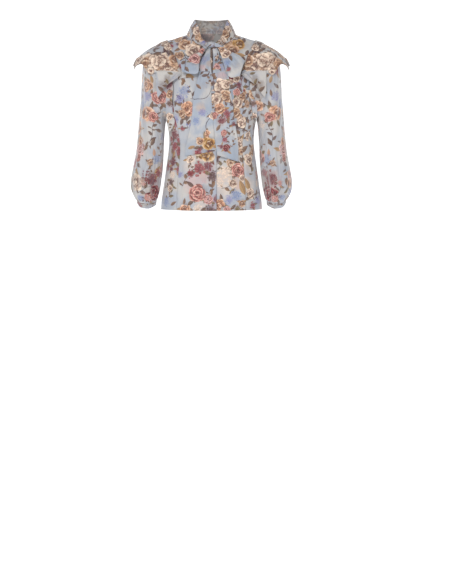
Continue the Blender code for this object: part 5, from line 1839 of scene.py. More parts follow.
@dataclass
class Bow:
    """The tied bow: knot, loops, tails and the layers between them."""

    figure: Figure
    loop_back_off: float = 0.0130
    loop_depth: float = 0.0130
    knot: tuple = (0.0100, 0.0098, 0.0090, -0.0340)  # half width, half depth, half height, middle's height
    knot_thickness: float = 0.0009
    tail_right: tuple = (
        # z_left   x_left   z_right  x_right
        (-0.0406, -0.0086, -0.0406, -0.0030),
        (-0.0620, -0.0200, -0.0620, -0.0034),
        (-0.0800, -0.0310, -0.0800, -0.0034),
        (-0.1000, -0.0389, -0.1000, -0.0024),
        (-0.1340, -0.0420, -0.1340, 0.0020),
        (-0.1724, -0.0511, -0.1700, 0.0110),
        (-0.1995, -0.0575, -0.1960, 0.0130),
        (-0.2320, -0.0615, -0.2260, 0.0150),
        (-0.2644, -0.0639, -0.2560, 0.0160),
        (-0.3000, -0.0685, -0.2900, 0.0170),
        (-0.3469, -0.0788, -0.3350, 0.0170),
        (-0.3841, -0.0879, -0.3700, 0.0170),
        (-0.4071, -0.0886, -0.3900, 0.0160),
    )
    tail_left: tuple = (
        # z_left   x_left   z_right  x_right
        (-0.0427, 0.0034, -0.0415, 0.0086),
        (-0.0620, 0.0052, -0.0620, 0.0230),
        (-0.0832, 0.0062, -0.0832, 0.0379),
        (-0.1221, 0.0048, -0.1221, 0.0494),
        (-0.1510, -0.0010, -0.1454, 0.0585),
        (-0.1740, 0.0000, -0.1738, 0.0609),
        (-0.2062, 0.0000, -0.2062, 0.0676),
        (-0.2319, 0.0015, -0.2319, 0.0713),
        (-0.2644, 0.0040, -0.2644, 0.0740),
        (-0.3016, 0.0080, -0.3016, 0.0798),
        (-0.3400, 0.0118, -0.3469, 0.0872),
        (-0.3740, 0.0150, -0.3841, 0.0903),
        (-0.4044, 0.0196, -0.4257, 0.0890),
    )
    under: tuple = (
        # z_left   x_left   z_right  x_right
        (-0.1300, 0.0560, -0.1300, 0.0930),
        (-0.1480, 0.0580, -0.1460, 0.0965),
        (-0.1680, 0.0600, -0.1620, 0.1000),
        (-0.1900, 0.0630, -0.1760, 0.1050),
        (-0.2200, 0.0690, -0.1890, 0.1130),
    )
    knot_fold: tuple = (
        # z_left   x_left   z_right  x_right
        (-0.0436, 0.0030, -0.0436, 0.0140),
        (-0.0520, 0.0045, -0.0520, 0.0215),
        (-0.0620, 0.0060, -0.0620, 0.0255),
        (-0.0740, 0.0075, -0.0740, 0.0250),
        (-0.0830, 0.0090, -0.0830, 0.0225),
        (-0.0900, 0.0110, -0.0900, 0.0185),
    )
    loop_right: tuple = (
        # x_top    z_top    x_low    z_low
        (-0.0109, -0.0280, -0.0109, -0.0400),
        (-0.0250, -0.0410, -0.0245, -0.0560),
        (-0.0480, -0.0600, -0.0400, -0.0930),
        (-0.0690, -0.0730, -0.0440, -0.1290),
        (-0.0880, -0.0825, -0.0680, -0.1325),
        (-0.1040, -0.0910, -0.0970, -0.1255),
    )
    loop_left: tuple = (
        # x_top    z_top    x_low    z_low
        (0.0109, -0.0280, 0.0109, -0.0400),
        (0.0290, -0.0360, 0.0250, -0.0510),
        (0.0510, -0.0500, 0.0400, -0.0900),
        (0.0720, -0.0620, 0.0494, -0.1221),
        (0.0930, -0.0715, 0.0640, -0.1450),
        (0.1110, -0.0890, 0.0950, -0.1400),
    )

    def _cloth(self, node: str, skin: np.ndarray, out: np.ndarray, flat: np.ndarray, hems: str) -> Cloth:
        """A piece of the bow with its print."""
        return Cloth(node, "bow_cloth", skin, out, flat, BOW_PRINTS[node], BOW_STREWN.get(node, ()), hems)

    def _hanging(
        self, node: str, table: tuple, offset: tuple, fold: tuple, rows: int, columns: int, seed: int
    ) -> Cloth:
        """A flat piece hanging before the front.

        Args:
            node: the CAD node it stands for.
            table: rows of z_left, x_left, z_right, x_right.
            offset: how far it stands before the front at its top and its bottom.
            fold: height and number of the soft folds across.
            rows: points down.
            columns: points across.
            seed: the seed of its swell.
        Returns:
            The piece.
        """
        down, share = edged(rows), edged(columns, both=True)[None, :]
        z, x = across(rounded(table, down * (len(table) - 1)), share)
        down = down[:, None]
        height, number = fold
        ripple = height * (0.5 - 0.5 * np.cos(TURN * number * share)) * smooth_step(down * 4)
        y = self.figure.front_y(x, z) - offset[0] * (1 - down) - offset[1] * down - ripple
        skin = np.stack([x, y, z], axis=-1)
        hems = "lrb" if node.startswith("tail") else "lr"
        cloth = self._cloth(node, skin, grid_normals(skin, AHEAD), flattened(skin), hems)
        cloth.fold(BOW_CREASES[node], edge_on=-1.0)
        cloth.ruffle(0.0003, 0.030, seed)
        cloth.refresh()
        return cloth

    def _loop(self, node: str, table: tuple) -> Cloth:
        """A loop: one band folded back on itself.

        Args:
            node: the CAD node it stands for.
            table: rows of x_top, z_top, x_low, z_low.
        Returns:
            The piece.
        """
        half, last = 58, len(table) - 1
        reach = np.concatenate([np.linspace(0.0, last, half), np.linspace(last, 0.0, half)])
        front = (np.arange(2 * half) < half)[:, None]
        share = edged(34, both=True)[None, :]
        x, z = across(rounded(table, reach), share)
        near = reach[:, None] / last
        end = np.sqrt(1 - 0.75 * np.clip((near - 0.8) / 0.2, 0.0, 1.0) ** 2)
        depth = self.loop_depth * np.sin(np.clip(near * 1.25, 0.0, 1.0) * math.pi / 2) * end
        middle = self.figure.front_y(x, z) - self.loop_back_off - self.loop_depth / 2
        gathers = 0.0011 * np.sin(share * TURN * 2.4 + 0.8) * np.exp(-near * 2.6) * np.minimum(near * 12, 1.0)
        bulge = 0.0075 * (1 - np.abs(2 * share - 1) ** 3) * near + gathers
        y = np.where(front, middle - depth / 2 - 0.0012 - bulge, middle + depth / 2 + 0.0012)
        x = x - np.sign(x) * np.where(front, 0.0, 0.0008)
        skin = np.stack([x, y, z], axis=-1)
        out = grid_normals(skin, np.where(front[..., None], AHEAD, -AHEAD))
        flat = flattened(skin)[..., ::-1] * np.array([-np.sign(table[-1][0]), -1.0])
        cloth = self._cloth(node, skin, out, flat, "lr")
        total = sum(c.lift(skin[..., 0], skin[..., 2]) for c in BOW_CREASES[node])
        cloth.skin = skin + AHEAD * (total * front)[..., None]
        cloth.refresh()
        return cloth

    def _knot(self) -> Cloth:
        """Cuts the knot, a short band wrapped round the middle of the bow and pleated by its own pull.

        Returns:
            The piece.
        """
        half_w, half_d, half_h, z_mid = self.knot
        y_mid = float(self.figure.front_y(np.array([0.0]), np.array([-0.052]))[0]) - 0.0125
        turn = np.linspace(0.0, TURN, 73)
        rows = []
        for x in np.linspace(-1.0, 1.0, 33):
            swell = math.sqrt(1 - (0.62 * x) ** 2) + 0.035 * math.sin(9.0 * x + 1.0) * (1 - x * x)
            wide = np.clip(x * half_w * (1 + 0.05 * np.sin(turn * 2 + 1)), -half_w, half_w)
            ring = [wide, y_mid - half_d * swell * np.cos(turn), z_mid + half_h * swell * np.sin(turn)]
            rows.append(np.stack(ring, axis=-1))
        skin = np.array(rows)
        out = grid_normals(skin, (skin - np.array([0.0, y_mid, z_mid])) * np.array([0.0, 1.0, 1.0]))
        close_ring(out)
        cloth = self._cloth("knot", skin, out, flattened(skin)[..., ::-1], "")
        cloth.thickness, cloth.closed = self.knot_thickness, True
        return cloth

    def cut(self) -> list[Cloth]:
        """Cuts and folds the bow.

        Returns:
            Its seven pieces.
        """
        return [
            self._hanging("tail_right", self.tail_right, (0.0050, 0.0046), (0.0010, 1), 150, 34, 201),
            self._hanging("tail_left", self.tail_left, (0.0088, 0.0086), (0.0020, 2), 160, 38, 202),
            self._hanging("loop_under", self.under, (0.0060, 0.0017), (0.0008, 1), 40, 22, 203),
            self._hanging("knot_fold", self.knot_fold, (0.0165, 0.0160), (0.0030, 1), 40, 22, 204),
            self._loop("loop_right", self.loop_right),
            self._loop("loop_left", self.loop_left),
            self._knot(),
        ]


# ---------------------------------------------------------------- finishes


@dataclass(frozen=True)
class Wire:
    """A node's output. Sums, products and comparisons of wires add the nodes that work them out."""

    graph: Graph
    socket: bpy.types.NodeSocket

    def through(self, step: str, *others: object, **settings: object) -> Wire:
        """The wire after a step of Math, or of Vector Math unless it carries a plain number."""
        kind = "Math" if self.socket.type == "VALUE" else "VectorMath"
        return self.graph.wire(kind, self, *others, operation=step, **settings)

    def __add__(self, other: object) -> Wire:
        """The sum with another wire, number or vector."""
        return self.through("ADD", other)

    def __sub__(self, other: object) -> Wire:
        """The difference from another wire, number or vector."""
        return self.through("SUBTRACT", other)

    def __rsub__(self, other: float) -> Wire:
        """The difference of a number from this wire."""
        return self.graph.wire("Math", other, self, operation="SUBTRACT")

    def __mul__(self, other: object) -> Wire:
        """Multiplies the wire.

        Args:
            other: a wire, a number or a tuple. A vector or colour is scaled by all but a tuple.
        Returns:
            The product.
        """
        if self.socket.type == "VALUE" or isinstance(other, tuple):
            return self.through("MULTIPLY", other)
        return self.through("SCALE", {"Scale": other})

    def __lt__(self, other: object) -> Wire:
        """1 where this wire is the less, and 0 elsewhere."""
        return self.through("LESS_THAN", other)

    def __gt__(self, other: object) -> Wire:
        """1 where this wire is the greater, and 0 elsewhere."""
        return self.through("GREATER_THAN", other)

    def __abs__(self) -> Wire:
        """The number without its sign."""
        return self.through("ABSOLUTE")

    def length(self) -> Wire:
        """The length of a vector."""
        return self.graph.wire("VectorMath", self, operation="LENGTH", output="Value")

    def parts(self) -> tuple[Wire, ...]:
        """The three parts of a vector or a colour."""
        kind = "SeparateColor" if self.socket.type == "RGBA" else "SeparateXYZ"
        return self.graph.wires(self.graph.add(kind, self), 0, 1, 2)

    def rise(self, low: float, high: float, start: float = 0.0, end: float = 1.0, soft: bool = True) -> Wire:
        """A number that goes from start to end as the wire goes from low to high, and stays there."""
        curve = "SMOOTHSTEP" if soft else "LINEAR"
        return self.graph.wire("MapRange", self, low, high, start, end, interpolation_type=curve)


@dataclass(frozen=True)
class Graph:
    """A node tree that is being wired."""

    tree: bpy.types.NodeTree

    def add(self, kind: str, *values: object, **settings: object) -> bpy.types.Node:
        """Adds a node with its settings and links.

        Args:
            kind: the node's type without "ShaderNode", or any other node's type in full.
            values: for its inputs in order: a wire, a number or a colour. A dict gives inputs by name.
            settings: the node's own properties.
        Returns:
            The node.
        """
        whole = kind.startswith(("Node", "Geometry", "Function"))
        node = self.tree.nodes.new(kind if whole else "ShaderNode" + kind)
        for key, value in settings.items():
            setattr(node, key, value)
        for place, value in enumerate(values):
            for key, one in (value if isinstance(value, dict) else {place: value}).items():
                if isinstance(one, Wire):
                    self.tree.links.new(one.socket, node.inputs[key])
                else:
                    node.inputs[key].default_value = linear(one) if isinstance(one, str) else one
        return node

    def wires(self, node: bpy.types.Node, *outputs: int | str) -> tuple[Wire, ...]:
        """Wires from a node's outputs."""
        return tuple(Wire(self, node.outputs[key]) for key in outputs)

    def wire(self, kind: str, *values: object, output: int | str = 0, **settings: object) -> Wire:
        """Adds a node and gives the wire from its first or another output."""
        return self.wires(self.add(kind, *values, **settings), output)[0]

    def join(self, x: object, y: object, z: object) -> Wire:
        """A vector of three numbers."""
        return self.wire("CombineXYZ", x, y, z)

    def mix(self, share: object, under: object, over: object, blend: str = "MIX") -> Wire:
        """One colour laid over another by its share."""
        return self.wire("Mix", {0: share, 6: under, 7: over}, output=2, data_type="RGBA", blend_type=blend)

    def blend(self, share: Wire, under: Wire, over: Wire) -> Wire:
        """A number between two others."""
        return self.wire("Mix", {0: share, 2: under, 3: over})

    def noise(self, place: Wire, scale: float, detail: float, distortion: float = 0.0) -> Wire:
        """Soft noise between 0 and 1."""
        given = {"Vector": place, "Scale": scale, "Detail": detail, "Distortion": distortion}
        return self.wire("TexNoise", given)


@dataclass(frozen=True)
class Screens:
    """The print's screens as node groups: each turns a motif's place and dye to colour and cover."""

    ink: str = "#4A3238"
    glow: str = "#FFF1DC"
    deep: str = "#6B4038"
    mist: str = "#B9A795"
    fade: str = "#D8BC98"

    def _start(self, name: str, sway: float, detail: float) -> tuple:
        """Begins a group.

        Args:
            name: its name.
            sway: how far the brush blurs a motif.
            detail: how fine its strokes are.
        Returns:
            Its graph, the motif's blurred place, its kind and seed, the brush's noise, and the dye.
        """
        g = Graph(bpy.data.node_groups.new(name, "ShaderNodeTree"))
        new_socket = g.tree.interface.new_socket
        new_socket("Place", in_out="INPUT", socket_type="NodeSocketVector")
        new_socket("Dye", in_out="INPUT", socket_type="NodeSocketColor")
        new_socket("Colour", in_out="OUTPUT", socket_type="NodeSocketColor")
        new_socket("Cover", in_out="OUTPUT", socket_type="NodeSocketFloat")
        place, dye = g.wires(g.add("NodeGroupInput"), "Place", "Dye")
        x, y, code = place.parts()
        seed = code.through("FRACT")
        brush = g.add("TexNoise", {"Vector": g.join(x, y, seed * 37.0), "Scale": detail, "Detail": 3.0})
        noise, off = g.wires(brush, 0, "Color")
        moved = g.join(x, y, 0.0) + (off - (0.5, 0.5, 0.5)) * sway
        return g, moved, code.through("FLOOR"), seed, noise, dye

    def _finish(self, g: Graph, colour: Wire, cover: Wire, kind: Wire) -> bpy.types.NodeTree:
        """Ends a group. Kind 0 is bare cloth."""
        g.add("NodeGroupOutput", {"Colour": colour, "Cover": cover * (kind > 0.5)})
        return g.tree

    def bloom(self) -> bpy.types.NodeTree:
        """Wires peonies and cabbage roses: petals in rings round a dark heart.

        Returns:
            The node group.
        """
        g, moved, kind, seed, noise, dye = self._start("bloom", 0.30, 2.3)
        x, y, _ = moved.parts()
        level = g.join(x + (seed * 40.0).through("SINE") * 0.12, y + seed * 0.16, 0.0)
        radius, tight = level.length(), kind > 1.5
        rings, base = tight * 1.7 + 2.5, seed * 11.0
        climb = radius * rings + base
        way_x, way_y, _ = (level.through("NORMALIZE") * (tight * 0.30 + 1.02)).parts()
        petals = g.join(way_x, way_y, climb)
        cells = {"Vector": petals, "Scale": 1.0, "Randomness": 0.85}
        seat, tint = g.wires(g.add("TexVoronoi", cells), "Position", "Color")
        edge = g.wire("TexVoronoi", cells, feature="DISTANCE_TO_EDGE")
        seat = seat.parts()[2]
        lean = climb - seat + g.noise(petals * (9.0, 9.0, 1.2), 1.0, 2.0) * 0.55
        shade = g.mix(0.85, dye, self.deep, "MULTIPLY")
        colour = g.mix(lean.rise(-0.22, 0.42), shade, dye)
        colour = g.mix(lean.rise(0.32, 0.85, 0.0, 0.85), colour, g.mix(0.62, dye, self.glow))
        colour = g.mix(noise.rise(0.50, 0.66, 0.0, 0.72), colour, shade)
        value = tint.parts()[0].rise(0.0, 1.0, 0.80, 1.12, soft=False)
        colour = g.wire("HueSaturation", {"Color": colour, "Value": value, "Saturation": 1.06})
        grain = noise.rise(0.40, 0.60, 0.1, 1.0, soft=False)
        colour = g.mix(radius.rise(0.08, 0.34, 0.62, 0.0) * grain, colour, self.deep)
        line = edge.rise(0.010, 0.100, 0.72, 0.0) * grain * radius.rise(0.62, 0.95, 1.0, 0.25, soft=False)
        cover = (seat < rings * 0.80 + base) * (radius < 1.14)
        return self._finish(g, g.mix(line, colour, self.ink), cover, kind)

    def wash(self) -> bpy.types.NodeTree:
        """Wires soft brushed washes: the print's shadows behind the flowers and its tints, and painted shade
        where the tables lay them under the flounces' flaps.

        Returns:
            The node group.
        """
        g, moved, kind, _, noise, dye = self._start("wash", 0.75, 2.4)
        colour = g.mix(noise.rise(0.35, 0.65, 0.0, 0.55, soft=False), dye, self.mist)
        return self._finish(g, colour, moved.length().rise(0.30, 1.0, 0.50, 0.0), kind)

    def cluster(self) -> bpy.types.NodeTree:
        """Wires berries and heads of small four-petalled florets.

        Returns:
            The node group.
        """
        g, moved, kind, seed, _, dye = self._start("cluster", 0.10, 4.0)
        florets = kind > 1.5
        dense = florets * 0.8 + 3.6
        shift = g.join(seed * 17.0, seed * 17.0, 0.0)
        place = moved * dense + shift
        cells = {"Vector": place, "Scale": 1.0, "Randomness": 0.8}
        cells = g.add("TexVoronoi", cells, voronoi_dimensions="2D")
        middle, tint, far = g.wires(cells, "Position", "Color", "Distance")
        vary, spin, loose = tint.parts()
        local = place - middle
        x, y, _ = local.parts()
        lobes = (y.through("ARCTAN2", x) * 4.0 + spin * 6.28).through("COSINE") * 0.15 + 0.36
        reach = g.blend(florets, vary * 0.10 + 0.40, lobes)
        seat = (middle - shift).length().through("DIVIDE", dense)
        berry = (far < reach) * (seat < loose * 0.42 + 0.48)
        fill = moved.length().rise(0.25, 0.70, 1.0, 0.0) * (florets * -0.30 + 0.88)
        deep = g.mix(florets * -0.27 + 0.45, dye, self.ink)
        pale = g.mix(florets * 0.22 + 0.16, dye, self.glow)
        colour = g.mix(vary.rise(0.15, 0.85, soft=False), deep, pale)
        colour = g.mix(0.45, colour, dye)
        light = (local - (-0.11, 0.13, 0.0)).length().rise(0.03, 0.13, 0.50, 0.0)
        colour = g.mix(light, colour, self.glow)
        colour = g.mix((reach - far).rise(0.0, 0.09, 0.65, 0.0, soft=False), colour, deep)
        return self._finish(g, g.mix(berry, deep, colour), berry.through("MAXIMUM", fill), kind)

    def spray(self) -> bpy.types.NodeTree:
        """Wires single leaves, leafy sprigs and bare branches.

        Returns:
            The node group.
        """
        g, moved, kind, seed, noise, dye = self._start("spray", 0.07, 3.4)
        x, y, _ = moved.parts()
        single, branch = kind < 1.5, kind > 2.5
        leaf, leaf_light = self._leaf(x, y, 0.40)
        side = y - (x * 2.3 + seed * 6.28).through("SINE") * (branch * 0.16 + 0.12)
        span = abs(x) < 0.95
        stem = (abs(side) < x * -0.010 + 0.026) * span
        step = x * 1.55 + 2.0  # the sprig's small leaves stand on it in turn, left and right
        flip = step.through("FLOOR").through("MODULO", 2.0) * -2.0 + 1.0
        small = g.join(step.through("FRACT") * 0.645 - 0.322, side * flip - 0.27, 0.0)
        small = g.wire("VectorRotate", {"Vector": small, "Angle": math.radians(-52)}, rotation_type="Z_AXIS")
        small_x, small_y, _ = (small * 2.55).parts()
        leaves, leaves_light = self._leaf(small_x, small_y, 0.52)
        sprig = (leaves * span * (1.0 - branch)).through("MAXIMUM", stem)
        light = noise * 0.5 + g.blend(single, leaves_light, leaf_light) - 0.25
        colour = g.mix(light, g.mix(0.55, dye, self.ink), g.mix(0.30, dye, self.fade))
        colour = g.mix(stem * (1.0 - single), colour, self.ink)
        return self._finish(g, colour, g.blend(single, sprig, leaf), kind)

    def _leaf(self, x: Wire, y: Wire, wide: float) -> tuple[Wire, Wire]:
        """Wires a lens-shaped leaf along x from -1 to 1.

        Args:
            x: place along it.
            y: place across it.
            wide: its half width.
        Returns:
            Its cover, and its light from its bright side, midrib and veins.
        """
        off = abs(y)
        width = (x * x * -wide + wide) * (x * -0.28 + 1.0)
        veins = ((x + off * -1.2) * 20.0).through("SINE") * 0.13
        light = veins + y.rise(-0.10, 0.10, 0.30, 0.62, soft=False) + (off < 0.035) * -0.45
        return off < width, light

    def make(self) -> dict[Layer, bpy.types.NodeTree]:
        """Makes all screens.

        Returns:
            Their node groups by layer.
        """
        bloom, spray = self.bloom(), self.spray()
        return {
            Layer.WASH: self.wash(),
            Layer.STEMS: spray,
            Layer.SPRAY: spray,
            Layer.CLUSTER: self.cluster(),
            Layer.BLOOM: bloom,
            Layer.BLOOM_OVER: bloom,
        }


def fresh(name: str) -> tuple[bpy.types.Material, Graph]:
    """Makes an empty material.

    Args:
        name: its name.
    Returns:
        The material and its graph.
    """
    material = bpy.data.materials.new(name)
    material.use_nodes = True
    material.node_tree.nodes.clear()
    return material, Graph(material.node_tree)


@dataclass(frozen=True)
class PrintedGeorgette:
    """Polyester georgette: twisted yarns that give a dry, pebbled face, printed by rotary screens.

    Light grazing it picks up a soft pale bloom from the yarns' fuzz through the shader's sheen, and the
    print shows through weaker on the wrong side. Where pale is set, a painted sheen also whitens the
    colour in streaks where the cloth turns away from the front.
    """

    name: str
    ground: str = "#B7B9BF"
    wash: str = "#C8C3BE"
    cool: str = "#A8AEBB"
    wash_size: float = 0.075  # metres between the painted ground's blotches
    thread: float = 0.0011  # drawn at three times its real spacing, so that the grain shows
    roughness: float = 0.62
    sheen: float = 0.35
    cover: float = 1.0
    ink_cover: float = 0.93  # how much of the ground the inks hide
    pale: float = 0.0  # how far a painted sheen whitens the colour where the cloth turns away from the front, in long streaks
    # the white of the painted sheen
    painted_sheen_white: str = "#E4E3E6"

    def make(self, groups: dict[Layer, bpy.types.NodeTree]) -> bpy.types.Material:
        """Wires the material.

        Args:
            groups: the screens' node groups.
        Returns:
            The material.
        """
        material, g = fresh(self.name)
        material.use_backface_culling = False
        flat = g.wire("UVMap", uv_map="flat")
        blotch = g.noise(flat, 1 / self.wash_size, 4.0, 0.6)
        cooler = g.noise(flat + (3.7, 1.9, 0.0), 0.7 / self.wash_size, 3.0)
        ground = g.mix(blotch.rise(0.42, 0.62, 0.0, 0.85), self.ground, self.wash)
        colour = ground = g.mix(cooler.rise(0.48, 0.66, 0.0, 0.80), ground, self.cool)
        for layer in Layer:
            place = g.wire("Attribute", attribute_name=layer.value, output="Vector")
            dye = g.wire("Attribute", attribute_name=layer.value + "_dye", output="Color")
            screen = g.add("Group", {"Place": place, "Dye": dye}, node_tree=groups[layer])
            printed, cover = g.wires(screen, "Colour", "Cover")
            colour = g.mix(cover * self.ink_cover, colour, printed)
        # Painted sheen: the colour is whitened where the normal turns away from the front, in long noise
        # streaks down the cloth, as sheer cloth looks pale edge on.
        if self.pale:
            ahead = abs(g.wire("NewGeometry", output="Normal").parts()[1]).through("POWER", 0.7)
            away = (1.0 - ahead).rise(0.05, 0.75, 0.06, 1.0, soft=False)
            sheen_streak = g.noise(flat * (60.0, 3.2, 1.0), 1.0, 3.0).rise(0.44, 0.62, 0.12, 1.35)
            amount = (away * sheen_streak).through("MULTIPLY", self.pale, use_clamp=True)
            colour = g.mix(amount, colour, self.painted_sheen_white)
        wrong = g.wire("Attribute", attribute_name="wrong_side", output="Fac")
        colour = g.mix(wrong * 0.55, colour, ground)
        weave = {"Vector": flat, "Scale": 0.314 / self.thread, "Distortion": 1.5, "Detail": 1.0}
        weft, warp = (g.wire("TexWave", weave, bands_direction=way, output="Fac") for way in "XY")
        grain = weft + warp
        cloth = {
            "Base Color": g.wire(
                "HueSaturation", {"Color": colour, "Value": grain.rise(0.0, 2.0, 0.96, 1.03, soft=False)}
            ),
            "Roughness": self.roughness,
            "IOR": 1.5,
            "Specular IOR Level": 0.25,
            "Sheen Weight": self.sheen,
            "Sheen Roughness": 0.45,
            "Alpha": self.cover,
            "Normal": g.wire("Bump", {"Height": grain, "Strength": 0.12, "Distance": 0.0004}),
        }
        g.add("OutputMaterial", {"Surface": g.wire("BsdfPrincipled", cloth)})
        return material


@dataclass(frozen=True)
class SewingThread:
    """Spun polyester thread: matt and slightly fuzzy, so a stitch reads as a small dull bar."""

    colour: str = "#A9B4C2"

    def make(self) -> bpy.types.Material:
        """Wires the material.

        Returns:
            The material.
        """
        material, g = fresh("spun_polyester_thread")
        ply = g.noise(g.wire("TexCoord", output="Object"), 2200.0, 2.0)
        tone = ply.rise(0.3, 0.7, 0.85, 1.1, soft=False)
        colour = g.wire("HueSaturation", {"Color": self.colour, "Value": tone})
        thread = g.wire("BsdfPrincipled", {"Base Color": colour, "Roughness": 0.8, "Sheen Weight": 0.2})
        g.add("OutputMaterial", {"Surface": thread})
        return material


@dataclass
class Stitching:
    """Rows of lockstitch laid along seams by one Geometry Nodes tree."""

    material: bpy.types.Material
    pitch: float = 0.0030  # real: 2.5 mm; drawn a little longer, so that single stitches show
    length: float = 0.0023
    width: float = 0.0006

    def __post_init__(self) -> None:
        """Makes the tree: points along each path, and a short thread on every point."""
        tree = bpy.data.node_groups.new("lockstitch_row", "GeometryNodeTree")
        tree.interface.new_socket("Path", in_out="INPUT", socket_type="NodeSocketGeometry")
        for name in ("Pitch", "Length", "Width"):
            tree.interface.new_socket(name, in_out="INPUT", socket_type="NodeSocketFloat")
        tree.interface.new_socket("Stitches", in_out="OUTPUT", socket_type="NodeSocketGeometry")
        g = Graph(tree)
        path, pitch, length, width = g.wires(g.add("NodeGroupInput"), "Path", "Pitch", "Length", "Width")
        curve = g.wire("GeometryNodeMeshToCurve", {"Mesh": path})
        even = g.wire("GeometryNodeResampleCurve", {"Curve": curve, "Length": pitch}, mode="LENGTH")
        points = g.add("GeometryNodeCurveToPoints", {"Curve": even}, mode="EVALUATED")
        points, tangent = g.wires(points, "Points", "Tangent")
        turn = g.wire("FunctionNodeAlignRotationToVector", {"Vector": tangent}, axis="Z")
        bar = {"Vertices": 6, "Radius": width * 0.5, "Depth": length}
        thread = g.wire("GeometryNodeMeshCylinder", bar, fill_type="NGON", output="Mesh")
        laid = {"Points": points, "Instance": thread, "Rotation": turn}
        laid = g.wire("GeometryNodeInstanceOnPoints", laid)
        real = g.wire("GeometryNodeRealizeInstances", {"Geometry": laid})
        done = g.wire("GeometryNodeSetMaterial", {"Geometry": real, "Material": self.material})
        g.add("NodeGroupOutput", {"Stitches": done})
        self.tree = tree

    def sew(self, name: str, slot: str, paths: list[np.ndarray]) -> None:
        """Lays a row along each path, as one plain mesh that rides on the blouse.

        Args:
            name: the piece's name.
            slot: the finish slot of the cloth it holds; not used.
            paths: points of each row.
        """
        first = np.cumsum([0] + [len(path) for path in paths])
        edges = [(a + k, a + k + 1) for a, path in zip(first, paths) for k in range(len(path) - 1)]
        line = bpy.data.meshes.new(name + "_path")
        line.from_pydata(np.concatenate(paths).tolist(), edges, [])
        guide = linked(name + "_path", line)
        modifier = guide.modifiers.new("stitches", "NODES")
        modifier.node_group = self.tree
        values = {"Pitch": self.pitch, "Length": self.length, "Width": self.width}
        for item in self.tree.interface.items_tree:
            if item.name in values:
                modifier[item.identifier] = values[item.name]
        mesh = bpy.data.meshes.new_from_object(guide.evaluated_get(bpy.context.evaluated_depsgraph_get()))
        guide.modifiers.clear()
        bpy.data.objects.remove(guide)
        mesh.name = name
        mesh.shade_smooth()
        rows = linked(name, mesh)
        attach(rows, "root")


# ---------------------------------------------------------------- studio


@dataclass
class Studio:
    """Pale floor, soft light and a camera in front."""

    floor_z: float = -1.72
    bend_y: float = 3.0
    bend: float = 1.6
    near_y: float = -9.0
    width: float = 14.0
    height: float = 6.0
    glow: float = 0.42
    world: float = 0.33
    camera_away: float = 10.0
    camera_x: float = 0.0490
    camera_z: float = -0.8680
    camera_rise: float = 0.55
    view_height: float = 1.9745
    sensor: float = 36.0
    lamps: tuple = (
        # name         place              aimed at        size  power
        ("key", (-1.1, -3.9, 1.9), (0, 0, -0.3), 1.5, 100.0),
        ("fill", (2.6, -4.0, -0.8), (0, 0, -0.5), 2.6, 30.0),
        ("back_left", (-2.6, 2.2, 1.4), (0, 0, -0.3), 2.0, 20.0),
        ("back_right", (2.6, 2.2, 1.4), (0, 0, -0.3), 2.0, 20.0),
    )

    def _sweep(self) -> bpy.types.Object:
        """Makes a floor that curves up into a wall far behind.

        Returns:
            The floor.
        """
        lines = [(self.near_y, self.floor_z)]
        for a in np.linspace(0.0, math.pi / 2, 13):
            rise = self.bend * (1 - math.cos(a))
            lines.append((self.bend_y + self.bend * math.sin(a), self.floor_z + rise))
        lines.append((self.bend_y + self.bend, self.height))
        vertices = [(s * self.width / 2, y, z) for y, z in lines for s in (-1, 1)]
        faces = [(2 * i, 2 * i + 1, 2 * i + 3, 2 * i + 2) for i in range(len(lines) - 1)]
        mesh = bpy.data.meshes.new("floor")
        mesh.from_pydata(vertices, [], faces)
        mesh.shade_smooth()
        material, g = fresh("white_paper_sweep")
        paper = {"Base Color": "#FAFAFA", "Roughness": 0.9}
        paper |= {"Emission Color": "#FFFFFF", "Emission Strength": self.glow}
        behind = g.wire("NewGeometry", output="Backfacing")
        # It is open to a camera behind it.
        both = g.wire("MixShader", behind, g.wire("BsdfPrincipled", paper), g.wire("BsdfTransparent"))
        g.add("OutputMaterial", {"Surface": both})
        mesh.materials.append(material)
        return linked("floor", mesh)

    def _aimed(self, name: str, data: bpy.types.ID, place: tuple, aim: tuple) -> bpy.types.Object:
        """Puts a lamp or camera in the scene, turned to a point.

        Args:
            name: its name.
            data: the lamp or camera.
            place: where it stands.
            aim: the point.
        Returns:
            The object.
        """
        obj = linked(name, data)
        obj.location = place
        obj.rotation_euler = (Vector(aim) - Vector(place)).to_track_quat("-Z", "Y").to_euler()
        return obj

    def build(self) -> None:
        """Makes the floor, the lights, the world and the camera."""
        scene = bpy.context.scene
        self._sweep()
        for name, place, aim, size, power in self.lamps:
            light = bpy.data.lights.new(name, "AREA")
            light.size, light.energy = size, power
            self._aimed(name, light, place, aim)
        scene.world = bpy.data.worlds.new("studio")
        scene.world.use_nodes = True
        background = scene.world.node_tree.nodes["Background"].inputs
        background["Color"].default_value = linear("#FFFFFF")
        background["Strength"].default_value = self.world
        data = bpy.data.cameras.new("camera")
        data.sensor_width = self.sensor
        data.lens = self.sensor * self.camera_away / self.view_height
        data.clip_end = 60.0
        place = (self.camera_x, -self.camera_away, self.camera_z + self.camera_rise)
        scene.camera = self._aimed("camera", data, place, (self.camera_x, 0.0, self.camera_z))
        scene.view_settings.view_transform = "Standard"


# ---------------------------------------------------------------- the whole


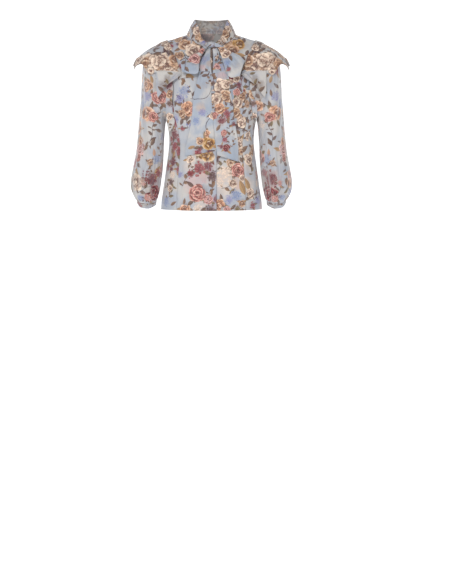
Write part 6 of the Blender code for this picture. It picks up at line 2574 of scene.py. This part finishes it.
def cut_size(cloth: Cloth, obj: bpy.types.Object) -> tuple[tuple[float, float], float]:
    """Measures a cut piece.

    Args:
        cloth: the piece.
        obj: its finished shell.
    Returns:
        Its flat width and length, and the cloth's area.
    """
    span = cloth.flat.reshape(-1, 2)
    width, length = (float(s) for s in span.max(axis=0) - span.min(axis=0))
    both_sides = sum(p.area for p in obj.data.polygons)
    return (width, length), both_sides / 2


def main() -> None:
    """Builds the blouse piece by piece."""
    logging.basicConfig(level=logging.INFO, format="%(message)s")
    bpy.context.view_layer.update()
    figure = Figure()
    sleeves = Sleeves(figure)
    figure.grow_tree(sleeves.grid())
    groups = Screens().make()
    finishes = {
        "body_cloth": PrintedGeorgette("printed_georgette_body"),
        "sleeve_cloth": PrintedGeorgette("printed_georgette_sleeve", cover=0.93, pale=0.68),
        "flounce_cloth": PrintedGeorgette("printed_georgette_flounce", ground="#C4C0BD", cover=0.96),
        "bow_cloth": PrintedGeorgette("printed_georgette_bow", ground="#A6ADB9", cool="#9AA6B7"),
    }
    finishes = {slot: finish.make(groups) for slot, finish in finishes.items()}
    stitching = Stitching(SewingThread().make())
    hem, placket = [], []
    for part in (Body(figure), sleeves, Collar(figure), Flounces(figure), Bow(figure)):
        for cloth in part.cut():
            if isinstance(part, Body):
                hem.append(cloth.seam("b", 0.0120))
            if cloth.node == "front_right":
                placket += [cloth.seam("l", 0.0030), cloth.seam("l", 0.0270)]
            if cloth.node.startswith("cuff"):
                rows = [cloth.seam("t", 0.0015), cloth.seam("b", 0.0015)]
                stitching.sew(cloth.node + "_stitches", cloth.slot, rows)
            obj = cloth.build()
            obj.data.materials.append(finishes[cloth.slot])
            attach(obj, "root")
            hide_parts(cloth.node)
            size, area = cut_size(cloth, obj)
            LOG.info("%s: %d faces, cut %.3f x %.3f", obj.name, len(obj.data.polygons), *size)
    stitching.sew("hem_stitches", "body_cloth", hem)
    stitching.sew("placket_stitches", "body_cloth", placket)
    Studio().build()


if __name__ == "__main__":
    main()
